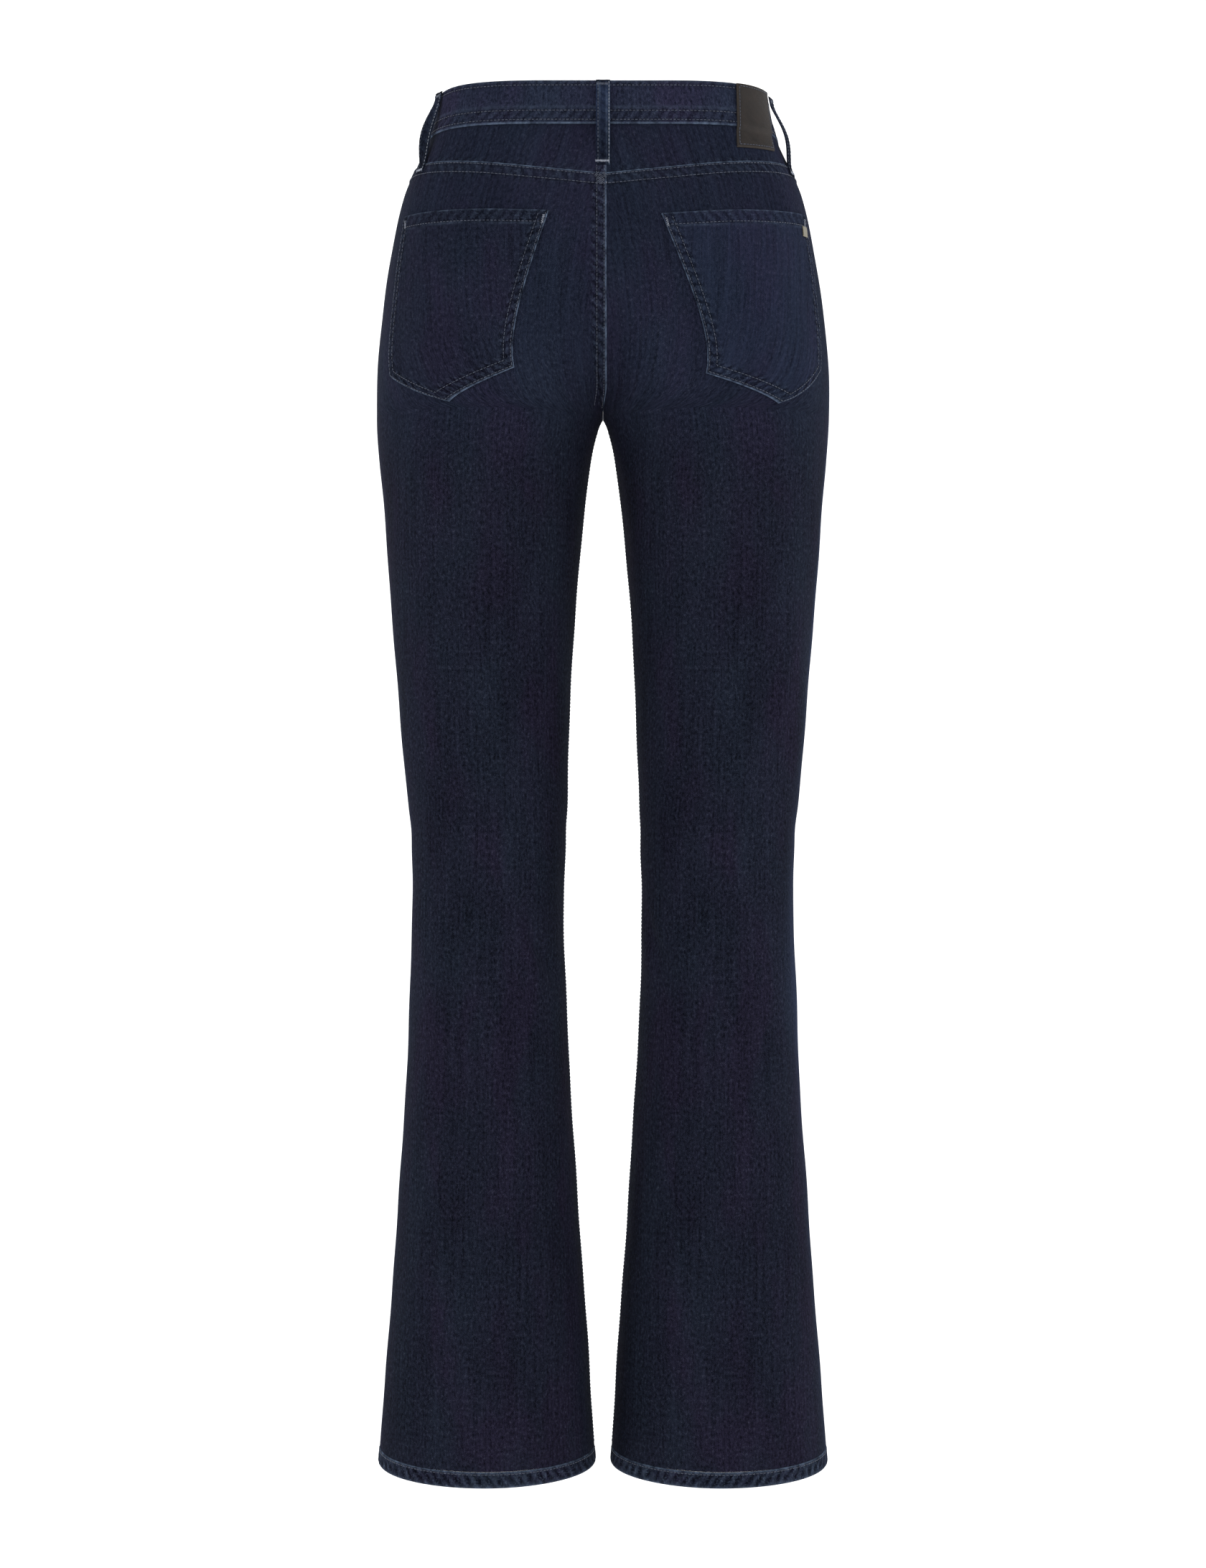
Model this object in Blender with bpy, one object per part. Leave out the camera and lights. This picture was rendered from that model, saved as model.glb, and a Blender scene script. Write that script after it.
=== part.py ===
"""High-rise flared jeans, filled out and held at the waist.

Metres, +Z up. The origin is the centre of the waist opening, at mid-height of the waistband.
The front faces -Y and the wearer's left is +X. Each sewn piece is a closed solid of its own.

The cloth's outer face is one smooth surface for each half of the garment. A point on it is given by
turn and height: turn runs 0 at the centre front (the inseam, below the crotch), 1 at the front of the
leg, 2 at the outseam, 3 at the back of the leg and 4 at the centre back (the inseam again).
"""

import math

import bmesh
import bpy
from mathutils import Matrix, Vector

# Driving dimensions
SEAM_GAP = 0.0003
DENIM = 0.0012
BAND_HEIGHT = 0.0365
BAND_PROUD = 0.0008
BAND_THICK = 0.0024
BAND_TOP_SIDE = 0.018
BAND_TILT = 0.097
BAND_DIP = 0.66
UNDERLAP = 0.036
STEP_IN = 0.022
CROTCH_Z = -0.247
HEM_Z = -1.115
HEM_HEIGHT = 0.013
HEM_PROUD = 0.0004
HEM_THICK = 0.0024
HEM_TILT = 0.09
YOKE_CENTRE_Z = -0.0564
YOKE_SIDE_Z = -0.0400
FRONT_CURVE_TOP_Z = -0.170
BACK_CURVE_TOP_Z = -0.150
SCOOP_CORNER = (0.158, -0.018)
SCOOP_WIDTH = 0.082
SCOOP_DROP = 0.062
FACING_MARGIN = 0.016
FLY_BOTTOM_Z = -0.152
ZIP_EDGES = (-0.010, 0.020)
ZIP_THICK = 0.0010
SHIELD_EDGES = (-0.010, 0.040)
BUTTON_X = 0.014
BUTTON_RADIUS = 0.0085
SHANK_RADIUS = 0.0024
SHANK_CLEARANCE = 0.0005
LOOP_WIDTH = 0.0115
LOOP_THICK = 0.0014
LOOP_TACK = 0.008
PATCH_REACH = (0.1095, 0.1510)
PATCH_BOTTOM_Z = -0.0328
PATCH_THICK = 0.0016
PATCH_EASE = 0.008
TAB_REACH = (0.1790, 0.1885)
TAB_HEIGHTS = (-0.1030, -0.0940)
TAB_THICK = 0.0008
BUTTON_STEPS = 20

# Half of the garment's outline at each height. outer: outseam from the centre plane; gap: inseam from the
# centre plane; apex: where the front and back stand furthest out; round: how square the outer corners are.
SECTIONS = [
    dict(z=+0.024, outer=0.1365, gap=0, apex_front=0.050, apex_back=0.052, front=0.081, back=0.079, round=0.70),
    dict(z=+0.000, outer=0.1408, gap=0, apex_front=0.050, apex_back=0.054, front=0.083, back=0.082, round=0.70),
    dict(z=-0.018, outer=0.1461, gap=0, apex_front=0.052, apex_back=0.057, front=0.086, back=0.086, round=0.69),
    dict(z=-0.038, outer=0.1554, gap=0, apex_front=0.054, apex_back=0.062, front=0.090, back=0.091, round=0.67),
    dict(z=-0.060, outer=0.1652, gap=0, apex_front=0.057, apex_back=0.068, front=0.094, back=0.097, round=0.65),
    dict(z=-0.100, outer=0.1746, gap=0, apex_front=0.064, apex_back=0.077, front=0.098, back=0.109, round=0.62),
    dict(z=-0.150, outer=0.1825, gap=0, apex_front=0.075, apex_back=0.085, front=0.099, back=0.118, round=0.60),
    dict(z=-0.200, outer=0.1876, gap=0, apex_front=0.086, apex_back=0.090, front=0.097, back=0.120, round=0.60),
    dict(z=-0.247, outer=0.1884, gap=0, apex_front=0.093, apex_back=0.095, front=0.093, back=0.112, round=0.60),
    dict(z=-0.280, outer=0.1860, gap=0.0106, apex_front=0.096, apex_back=0.098, front=0.090, back=0.104, round=0.59),
    dict(z=-0.320, outer=0.1826, gap=0.0156, apex_front=0.097, apex_back=0.099, front=0.087, back=0.095, round=0.58),
    dict(z=-0.360, outer=0.1796, gap=0.0198, apex_front=0.098, apex_back=0.099, front=0.084, back=0.088, round=0.58),
    dict(z=-0.420, outer=0.1752, gap=0.0244, apex_front=0.098, apex_back=0.099, front=0.080, back=0.081, round=0.57),
    dict(z=-0.480, outer=0.1706, gap=0.0275, apex_front=0.098, apex_back=0.098, front=0.076, back=0.075, round=0.57),
    dict(z=-0.540, outer=0.1650, gap=0.0299, apex_front=0.097, apex_back=0.097, front=0.072, back=0.070, round=0.56),
    dict(z=-0.590, outer=0.1602, gap=0.0312, apex_front=0.096, apex_back=0.096, front=0.068, back=0.066, round=0.56),
    dict(z=-0.640, outer=0.1590, gap=0.0329, apex_front=0.096, apex_back=0.096, front=0.065, back=0.064, round=0.56),
    dict(z=-0.700, outer=0.1602, gap=0.0324, apex_front=0.096, apex_back=0.096, front=0.064, back=0.066, round=0.56),
    dict(z=-0.780, outer=0.1634, gap=0.0287, apex_front=0.096, apex_back=0.096, front=0.065, back=0.069, round=0.56),
    dict(z=-0.860, outer=0.1680, gap=0.0240, apex_front=0.096, apex_back=0.096, front=0.067, back=0.072, round=0.56),
    dict(z=-0.940, outer=0.1737, gap=0.0185, apex_front=0.096, apex_back=0.096, front=0.069, back=0.075, round=0.56),
    dict(z=-1.020, outer=0.1798, gap=0.0128, apex_front=0.096, apex_back=0.096, front=0.071, back=0.078, round=0.56),
    dict(z=-1.120, outer=0.1875, gap=0.0060, apex_front=0.096, apex_back=0.096, front=0.073, back=0.080, round=0.56),
]

# The seat seam: how far it lies inside the apex, and the angle, in degrees, at which the cloth leaves it.
CENTRE_SEAMS = [
    dict(z=+0.024, dent_front=0.000, dent_back=0.000, turn_front=0, turn_back=0),
    dict(z=-0.020, dent_front=0.000, dent_back=0.000, turn_front=0, turn_back=0),
    dict(z=-0.060, dent_front=0.000, dent_back=0.001, turn_front=0, turn_back=1),
    dict(z=-0.100, dent_front=0.001, dent_back=0.004, turn_front=2, turn_back=7),
    dict(z=-0.150, dent_front=0.002, dent_back=0.008, turn_front=8, turn_back=18),
    dict(z=-0.190, dent_front=0.003, dent_back=0.009, turn_front=22, turn_back=34),
    dict(z=-0.220, dent_front=0.003, dent_back=0.008, turn_front=46, turn_back=56),
    dict(z=-0.238, dent_front=0.002, dent_back=0.006, turn_front=70, turn_back=74),
    dict(z=-0.247, dent_front=0.000, dent_back=0.000, turn_front=88, turn_back=88),
]

# Heights of the rings that every panel shares, above and below the crotch; the front panels and the fly have
# one more at the top.
FRONT_TOP_RING = -0.052
SEAT_RINGS = (-0.075, -0.100, -0.126, -0.152, -0.176, -0.198, -0.217, -0.232, -0.242)
LEG_RINGS = (
    -0.2500, -0.2580, -0.2760, -0.305, -0.345, -0.395, -0.450, -0.510, -0.565, -0.610,
    -0.650, -0.700, -0.760, -0.830, -0.910, -0.990, -1.060,
)
INNER_COLUMNS = 4
OUTER_COLUMNS = 7
TURN_STEP = 0.02
RISE_STEP = 0.003

# Back pocket outlines: distance from the centre plane and height of each corner. mid is the middle of the
# inner edge, which bends a little towards the pocket.
BACK_POCKETS = [
    dict(side="left", inner_top=(0.0436, -0.0892), outer_top=(0.1613, -0.0860), outer_bottom=(0.1718, -0.2181),
         tip=(0.1228, -0.2428), inner_bottom=(0.0709, -0.2164), mid=(0.0612, -0.1450)),
    dict(side="right", inner_top=(0.0470, -0.0920), outer_top=(0.1644, -0.0831), outer_bottom=(0.1766, -0.2116),
         tip=(0.1408, -0.2433), inner_bottom=(0.0824, -0.2210), mid=(0.0690, -0.1490)),
]

# Belt loops: which half, how far round from the centre back (front: from the centre front) the top and the
# lower end are, the lower end's height, and how far the middle bows out.
BELT_LOOPS = [
    dict(node="belt_loop_back", side=+1, back=True, reach_top=0.0, reach_low=0.0, low=-0.0500, bow=0.0056),
    dict(node="belt_loop_side_left", side=+1, back=True, reach_top=0.154, reach_low=0.166, low=-0.0500, bow=0.0052),
    dict(node="belt_loop_side_right", side=-1, back=True, reach_top=0.169, reach_low=0.179, low=-0.0500, bow=0.0046),
    dict(node="belt_loop_front_left", side=+1, back=False, reach_top=0.060, reach_low=0.062, low=-0.0580, bow=0.0056),
    dict(node="belt_loop_front_right", side=-1, back=False, reach_top=0.060, reach_low=0.062, low=-0.0580, bow=0.0056),
]

# The button's half profile: radius, and height above the band's outer face.
BUTTON_PROFILE = (
    (0.0, -0.0068),
    (0.0044, -0.0068),
    (0.0048, -0.0064),
    (0.0048, -0.0054),
    (SHANK_RADIUS, -0.0054),
    (SHANK_RADIUS, SEAM_GAP),
    (BUTTON_RADIUS - 0.0007, SEAM_GAP),
    (BUTTON_RADIUS, 0.0010),
    (BUTTON_RADIUS, 0.0022),
    (0.0074, 0.0031),
    (0.0062, 0.0030),
    (0.0050, 0.0024),
    (0.0, 0.0024),
)
HOLE_RADIUS = SHANK_RADIUS + SHANK_CLEARANCE
SHANK_PROFILE = ((0.0, -0.012), (HOLE_RADIUS, -0.012), (HOLE_RADIUS, 0.006), (0.0, 0.006))

SIDES = (("left", 1), ("right", -1))

# Finishes: colour, roughness, metallic
FINISHES = {
    "denim": ((0.011, 0.016, 0.035), 0.85, 0.0),
    "denim_pocket": ((0.012, 0.017, 0.037), 0.85, 0.0),
    "denim_band": ((0.012, 0.018, 0.040), 0.85, 0.0),
    "denim_loop": ((0.020, 0.032, 0.070), 0.85, 0.0),
    "leather": ((0.032, 0.026, 0.022), 0.60, 0.0),
    "silver_metal": ((0.75, 0.73, 0.66), 0.35, 1.0),
    "button_metal": ((0.30, 0.29, 0.28), 0.35, 1.0),
    "zip": ((0.020, 0.024, 0.034), 0.60, 0.2),
}


def clear_scene():
    for obj in list(bpy.data.objects):
        bpy.data.objects.remove(obj, do_unlink=True)


def column(table, name, z):
    """One column of a table at height z, through a smooth curve over its rows, which run downwards."""
    rows = [(row["z"], row[name]) for row in table]
    if z >= rows[0][0]:
        return rows[0][1]
    if z <= rows[-1][0]:
        return rows[-1][1]
    k = next(i for i in range(len(rows) - 1) if rows[i + 1][0] <= z)
    slopes = []
    for i in (k, k + 1):
        before, after = rows[max(i - 1, 0)], rows[min(i + 1, len(rows) - 1)]
        slopes.append((after[1] - before[1]) / (after[0] - before[0]))
    (z0, v0), (z1, v1) = rows[k], rows[k + 1]
    span = z1 - z0
    u = (z - z0) / span
    return (
        v0 * (1 + 2 * u) * (1 - u) ** 2
        + v1 * u * u * (3 - 2 * u)
        + slopes[0] * span * u * (1 - u) ** 2
        - slopes[1] * span * u * u * (1 - u)
    )


def inseam_x(z):
    """The legs part at the crotch along a narrow arch, so the square of the gap is the smooth column."""
    squares = [dict(z=row["z"], square=row["gap"] ** 2) for row in SECTIONS]
    return math.sqrt(max(column(squares, "square", z), 0.0))


def inseam_y(z):
    return 0.005 * min(max((z + 0.62) / 0.37, 0.0), 1.0)


def seam_depth(z, full, curve_top):
    """The centre seam in the plane x = 0: straight above curve_top, then a quarter ellipse to the crotch."""
    rise = min(max((z - CROTCH_Z) / (curve_top - CROTCH_Z), 0.0), 1.0)
    reach = math.sqrt(1 - (1 - rise) ** 2)
    start = inseam_y(CROTCH_Z)
    return start + (full - start) * reach


def bezier(p0, p1, p2, p3, u):
    v = 1 - u
    return p0 * v**3 + p1 * 3 * v * v * u + p2 * 3 * v * u * u + p3 * u**3


def seam_end(z, back):
    """Where a half's outline meets the centre plane or the inseam, and the direction it leaves in."""
    sign = 1 if back else -1
    if z <= CROTCH_Z:
        return Vector((inseam_x(z), inseam_y(z))), Vector((0, sign))
    name = "back" if back else "front"
    full = sign * (column(SECTIONS, name, z) - column(CENTRE_SEAMS, "dent_" + name, z))
    y = seam_depth(z, full, BACK_CURVE_TOP_Z if back else FRONT_CURVE_TOP_Z)
    turn = math.radians(column(CENTRE_SEAMS, "turn_" + name, z))
    return Vector((0, y)), Vector((math.cos(turn), sign * math.sin(turn)))


def outline(turn, z):
    """The outer face's x and y at a turn and height."""
    back = turn > 2
    sign = 1 if back else -1
    name = "back" if back else "front"
    apex = Vector((column(SECTIONS, "apex_" + name, z), sign * column(SECTIONS, name, z)))
    square = column(SECTIONS, "round", z)
    if 1 <= turn <= 3:
        side = Vector((column(SECTIONS, "outer", z), 0))
        u = abs(turn - 2)
        return bezier(
            side,
            side + Vector((0, square * apex.y)),
            apex + Vector((square * (side.x - apex.x), 0)),
            apex,
            u,
        )
    start, leaving = seam_end(z, back)
    across = apex.x - start.x
    reach = square * (abs(apex.y - start.y) * abs(leaving.y) + across * leaving.x)
    u = turn if turn < 1 else 4 - turn
    return bezier(start, start + leaving * reach, apex - Vector((0.52 * across, 0)), apex, u)


def surface(turn, z):
    x, y = outline(turn, z)
    return Vector((x, y, z))


def outward(turn, z):
    """Unit normal of the outer face of the wearer's left half."""
    low, high = max(turn - TURN_STEP, 0), min(turn + TURN_STEP, 4)
    along = surface(high, z) - surface(low, z)
    up = surface(turn, z + RISE_STEP) - surface(turn, z - RISE_STEP)
    return along.cross(up).normalized()


def placed(turn, z, off=0.0, side=1):
    """A point off metres outside the outer face, on the left (+1) or right (-1) half, clear of the centre plane."""
    point = surface(turn, z) + outward(turn, z) * off
    point.x = max(point.x, SEAM_GAP / 2) * side
    return point


def centred(point):
    return Vector((0, point.y, point.z))


def seam_inset(turn, z, direction):
    """The turn half a seam gap away from a panel's edge, towards higher (+1) or lower (-1) turns."""
    step = TURN_STEP * direction
    speed = (surface(turn + step, z) - surface(turn, z)).length / TURN_STEP
    return turn + direction * SEAM_GAP / 2 / speed


def turn_at_x(x, z):
    """The front turn whose outline is x from the centre plane."""
    low, high = 0.0, 2.0
    for _ in range(30):
        middle = (low + high) / 2
        low, high = (middle, high) if outline(middle, z).x < x else (low, middle)
    return (low + high) / 2


def turn_at_reach(reach, z, back):
    """The turn that lies reach metres round the outline from the centre back, or from the centre front."""
    turn, direction, walked = (4.0, -1, 0.0) if back else (0.0, 1, 0.0)
    here = outline(turn, z)
    while walked < reach:
        turn += direction * TURN_STEP / 4
        there = outline(turn, z)
        walked += (there - here).length
        here = there
    return turn


def front_turns():
    """Columns of a front panel, closer together across its outer half."""
    return [k / INNER_COLUMNS for k in range(INNER_COLUMNS)] + [1 + k / OUTER_COLUMNS for k in range(OUTER_COLUMNS + 1)]


def back_turns():
    return [4 - turn for turn in reversed(front_turns())]


def band_top(turn):
    """The waistband's top edge: a little higher at the back, lower at the front."""
    y = outline(turn, BAND_TOP_SIDE).y
    return BAND_TOP_SIDE + BAND_TILT * y - BAND_DIP * y * y


def band_bottom(turn):
    return band_top(turn) - BAND_HEIGHT


def band_heights(turn):
    return [band_top(turn), band_top(turn) - BAND_HEIGHT / 2, band_bottom(turn)]


def yoke_bottom(turn):
    x = outline(turn, YOKE_SIDE_Z).x
    share = min(x / outline(2, YOKE_SIDE_Z).x, 1)
    return YOKE_CENTRE_Z + (YOKE_SIDE_Z - YOKE_CENTRE_Z) * share


def hem_bottom(turn):
    """The hem hangs a little lower at the back than at the front."""
    return HEM_Z - HEM_TILT * outline(turn, HEM_Z).y


def hem_top(turn):
    return hem_bottom(turn) + HEM_HEIGHT


def finish(name):
    if name in bpy.data.materials:
        return bpy.data.materials[name]
    colour, roughness, metallic = FINISHES[name]
    material = bpy.data.materials.new(name)
    material.use_nodes = True
    shader = material.node_tree.nodes["Principled BSDF"]
    shader.inputs["Base Color"].default_value = (*colour, 1)
    shader.inputs["Roughness"].default_value = roughness
    shader.inputs["Metallic"].default_value = metallic
    return material


def add_object(name, mesh_data, material):
    mesh = bpy.data.meshes.new(name)
    bmesh.ops.recalc_face_normals(mesh_data, faces=mesh_data.faces)
    mesh_data.to_mesh(mesh)
    mesh_data.free()
    mesh.shade_smooth()
    mesh.set_sharp_from_angle(angle=math.radians(35))
    mesh.materials.append(finish(material))
    obj = bpy.data.objects.new(name, mesh)
    bpy.context.scene.collection.objects.link(obj)
    return obj


def wall(outer, inner, ring=False):
    """A closed bmesh between two grids of points of the same size; ring joins the last column to the first.

    Both grids are split along the same diagonals, so that layers with the same rows and columns nest.
    """
    made = bmesh.new()
    faces = [[[made.verts.new(p) for p in row] for row in grid] for grid in (outer, inner)]
    rows, columns = len(outer), len(outer[0])
    spans = [(j, (j + 1) % columns) for j in range(columns if ring else columns - 1)]
    for grid in faces:
        for i in range(rows - 1):
            for j, k in spans:
                made.faces.new((grid[i][j], grid[i + 1][j], grid[i + 1][k]))
                made.faces.new((grid[i][j], grid[i + 1][k], grid[i][k]))
    skin, lining = faces
    for i in (0, rows - 1):
        for j, k in spans:
            made.faces.new((skin[i][j], skin[i][k], lining[i][k], lining[i][j]))
    if not ring:
        for j in (0, columns - 1):
            for i in range(rows - 1):
                made.faces.new((skin[i][j], skin[i + 1][j], lining[i + 1][j], lining[i][j]))
    return made


def surface_rows(turns, heights, side, off, ring=False):
    """Rows of points off metres outside the outer face. heights(turn) lists a column's heights, top to bottom."""
    columns = []
    for turn in turns:
        points = []
        for z in heights(turn):
            at = turn
            if not ring and turn == turns[0]:
                at = seam_inset(turn, z, 1)
            if not ring and turn == turns[-1]:
                at = seam_inset(turn, z, -1)
            points.append(placed(at, z, off, side))
        columns.append(points)
    return [list(row) for row in zip(*columns)]


def add_wall(name, turns, heights, side, material, off=0.0, thick=DENIM, ring=False):
    outer = surface_rows(turns, heights, side, off, ring)
    inner = surface_rows(turns, heights, side, off - thick, ring)
    return add_object(name, wall(outer, inner, ring), material)


def front_heights(turn):
    return [band_bottom(turn) - SEAM_GAP, FRONT_TOP_RING, *SEAT_RINGS, *LEG_RINGS, hem_top(turn) + SEAM_GAP]


def back_heights(turn):
    top = yoke_bottom(turn) - SEAM_GAP / 2
    return [top, (top + SEAT_RINGS[0]) / 2, *SEAT_RINGS, *LEG_RINGS, hem_top(turn) + SEAM_GAP]


def yoke_heights(turn):
    top, low = band_bottom(turn) - SEAM_GAP, yoke_bottom(turn) + SEAM_GAP / 2
    return [top + (low - top) * k / 3 for k in range(4)]


def prism(name, corners, depth):
    """A cutter: a flat outline of points, extruded by the vector depth."""
    made = bmesh.new()
    face = made.faces.new([made.verts.new(corner) for corner in corners])
    grown = bmesh.ops.extrude_face_region(made, geom=[face])
    moved = [item for item in grown["geom"] if isinstance(item, bmesh.types.BMVert)]
    bmesh.ops.translate(made, verts=moved, vec=depth)
    return as_cutter(add_object(name, made, "denim"))


def as_cutter(obj):
    obj.hide_render = True
    obj.display_type = "WIRE"
    return obj


def boolean(obj, cutter, operation):
    step = obj.modifiers.new(operation.lower(), "BOOLEAN")
    step.object = cutter
    step.operation = operation
    step.solver = "EXACT"


def scoop_cutter(name, side, grow=0.0):
    """The scooped pocket mouth, from the waist seam to the outseam and past both."""
    corner_x, corner_z = SCOOP_CORNER
    arc = []
    for k in range(9):
        angle = math.radians(90 * k / 8)
        x = corner_x - (SCOOP_WIDTH + grow) * math.cos(angle)
        arc.append((x, corner_z - (SCOOP_DROP + grow) * math.sin(angle)))
    past_side, past_top = 0.25, 0.02
    corners = [*arc, (past_side, arc[-1][1]), (past_side, past_top), (arc[0][0], past_top)]
    return prism(name, [(x * side, -0.2, z) for x, z in corners], (0, 0.22, 0))


def make_panels():
    for word, side in SIDES:
        front = add_wall(f"front_panel_{word}", front_turns(), front_heights, side, "denim")
        boolean(front, scoop_cutter(f"scoop_cutter_{word}", side), "DIFFERENCE")
        add_wall(f"back_panel_{word}", back_turns(), back_heights, side, "denim")
        add_wall(f"yoke_{word}", back_turns(), yoke_heights, side, "denim")


def make_pocket_facings():
    """Denim behind each scooped mouth, a seam gap inside the front panel."""
    turns = [turn for turn in front_turns() if turn >= 0.75]
    for word, side in SIDES:
        facing = add_wall(
            f"pocket_facing_{word}",
            turns,
            lambda turn: front_heights(turn)[:5],
            side,
            "denim",
            off=-DENIM - SEAM_GAP,
        )
        boolean(facing, scoop_cutter(f"facing_cutter_{word}", side, FACING_MARGIN), "INTERSECT")


def make_hems():
    """Each leg's turn-up is a closed ring."""
    turns = front_turns()[:-1] + back_turns()[:-1]
    for word, side in SIDES:
        add_wall(
            f"hem_{word}",
            turns,
            lambda turn: [hem_top(turn), hem_bottom(turn)],
            side,
            "denim_band",
            off=HEM_PROUD,
            thick=HEM_THICK,
            ring=True,
        )


def seat_layer(name, side, material, off, thick):
    """A layer over the whole seat, with the back panel's own rows and columns, to be cut to an outline."""
    rows = len(SEAT_RINGS) + 4
    return add_wall(name, back_turns(), lambda turn: back_heights(turn)[:rows], side, material, off, thick)


def make_back_pockets():
    corners = ("inner_top", "outer_top", "outer_bottom", "tip", "inner_bottom", "mid")
    for pocket in BACK_POCKETS:
        word = pocket["side"]
        side = dict(SIDES)[word]
        layer = seat_layer(f"back_pocket_{word}", side, "denim_pocket", SEAM_GAP + DENIM, DENIM)
        outline_xz = [pocket[name] for name in corners]
        cutter = prism(f"pocket_cutter_{word}", [(x * side, 0.02, z) for x, z in outline_xz], (0, 0.18, 0))
        boolean(layer, cutter, "INTERSECT")


def window_cutter(name, reaches, heights, side):
    """An upright box through the cloth between two distances round from the centre back and two heights."""
    middle = (heights[0] + heights[1]) / 2
    first, last = (placed(turn_at_reach(reach, middle, True), middle, 0, side) for reach in reaches)
    along = last - first
    away = Vector((0, 0, 1)).cross(along).normalized() * 0.04
    low, high = (Vector((first.x, first.y, z)) - away for z in heights)
    return prism(name, [low, low + along, high + along, high], away * 2)


def make_pocket_tab():
    """A bare metal tab on the right back pocket, by its outer edge."""
    off = 2 * SEAM_GAP + DENIM + TAB_THICK
    layer = seat_layer("pocket_tab", -1, "silver_metal", off, TAB_THICK)
    boolean(layer, window_cutter("tab_cutter", TAB_REACH, TAB_HEIGHTS, -1), "INTERSECT")


def front_point(x, z, off):
    """A point at x on either side of the centre front, off metres outside the outer face."""
    point = placed(turn_at_x(abs(x), z), z, off, 1 if x > 0 else -1)
    return point if x else centred(point)


def band_stations():
    """The waistband's run, as side, turn and offset: from its left end at the centre front, round the back."""
    run = [(1, turn, BAND_PROUD) for turn in front_turns() + back_turns()[1:]]
    run += [(-1, turn, BAND_PROUD) for turn in reversed(back_turns()[:-1])]
    run += [(-1, turn, BAND_PROUD) for turn in reversed(front_turns()[:-1]) if turn >= 0.75]
    return run


def make_waistband():
    """One strip whose right end steps in behind its left end; tail lists each step's x and share of the depth."""
    under = BAND_PROUD - BAND_THICK - SEAM_GAP
    tail = [(-STEP_IN, 0.0), (-0.016, 0.15), (-0.010, 0.5), (-0.004, 0.92), (0.0, 1.0), (0.012, 1.0)]
    tail += [(0.024, 1.0), (UNDERLAP, 1.0)]
    grids = []
    for depth in (0.0, BAND_THICK):
        columns = []
        for side, turn, off in band_stations():
            points = [placed(turn, z, off - depth, side) for z in band_heights(turn)]
            columns.append([centred(p) for p in points] if turn == 4 else points)
        for x, share in tail:
            off = BAND_PROUD + (under - BAND_PROUD) * share - depth
            turn = turn_at_x(abs(x), 0)
            columns.append([front_point(x, z, off) for z in band_heights(turn)])
        grids.append([list(row) for row in zip(*columns)])
    band = add_object("waistband", wall(*grids), "denim_band")
    centre, axis = button_seat()
    hole = turned("button_hole_cutter", SHANK_PROFILE, centre, axis, "denim")
    boolean(band, as_cutter(hole), "DIFFERENCE")


def button_seat():
    """Where the button's axis meets the band's outer face, and the axis, pointing outwards."""
    middle = band_top(0) - BAND_HEIGHT / 2
    seat, above = (front_point(BUTTON_X, z, BAND_PROUD) for z in (middle, middle + BUTTON_RADIUS))
    return seat, Vector((1, 0, 0)).cross(above - seat).normalized()


def turned(name, profile, centre, axis, material):
    """A closed solid turned from a half profile of (radius, height) whose ends lie on the axis."""
    made = bmesh.new()
    rings = []
    for radius, height in profile:
        count = BUTTON_STEPS if radius else 1
        angles = [2 * math.pi * k / count for k in range(count)]
        rings.append([made.verts.new((radius * math.cos(a), radius * math.sin(a), height)) for a in angles])
    for low, high in zip(rings, rings[1:]):
        for k in range(BUTTON_STEPS):
            corners = [low[k % len(low)], low[(k + 1) % len(low)], high[(k + 1) % len(high)], high[k % len(high)]]
            made.faces.new(list(dict.fromkeys(corners)))
    spin = axis.to_track_quat("Z", "Y").to_matrix().to_4x4()
    bmesh.ops.transform(made, matrix=Matrix.Translation(centre) @ spin, verts=made.verts)
    return add_object(name, made, material)


def make_button():
    centre, axis = button_seat()
    turned("waist_button", BUTTON_PROFILE, centre, axis, "button_metal")


def add_fly_strip(name, edges, off, thick, material):
    """A flat strip behind the closed fly, crossing the centre front."""
    low_x, high_x = edges
    stations = [low_x, 0.0, high_x / 3, high_x * 2 / 3, high_x]
    grids = []
    for depth in (off, off - thick):
        columns = []
        for x in stations:
            top = band_bottom(turn_at_x(abs(x), -0.03)) - SEAM_GAP
            heights = [top, FRONT_TOP_RING, *[z for z in SEAT_RINGS if z >= FLY_BOTTOM_Z]]
            columns.append([front_point(x, z, depth) for z in heights])
        grids.append([list(row) for row in zip(*columns)])
    add_object(name, wall(*grids), material)


def make_fly():
    zip_off = -DENIM - SEAM_GAP
    shield_off = zip_off - ZIP_THICK - SEAM_GAP
    add_fly_strip("fly_zip", ZIP_EDGES, zip_off, ZIP_THICK, "zip")
    add_fly_strip("fly_shield", SHIELD_EDGES, shield_off, DENIM, "denim")


def on_facets(turn, z, off, side):
    """A point off metres outside the flat facets between the panels' columns."""
    columns = front_turns() + back_turns()[1:]
    after = next(k for k, value in enumerate(columns) if value >= turn - 1e-6)
    before = max(after - 1, 0)
    first, last = columns[before], columns[after]
    share = (turn - first) / (last - first) if last > first else 0
    return placed(first, z, off, side).lerp(placed(last, z, off, side), share)


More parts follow.
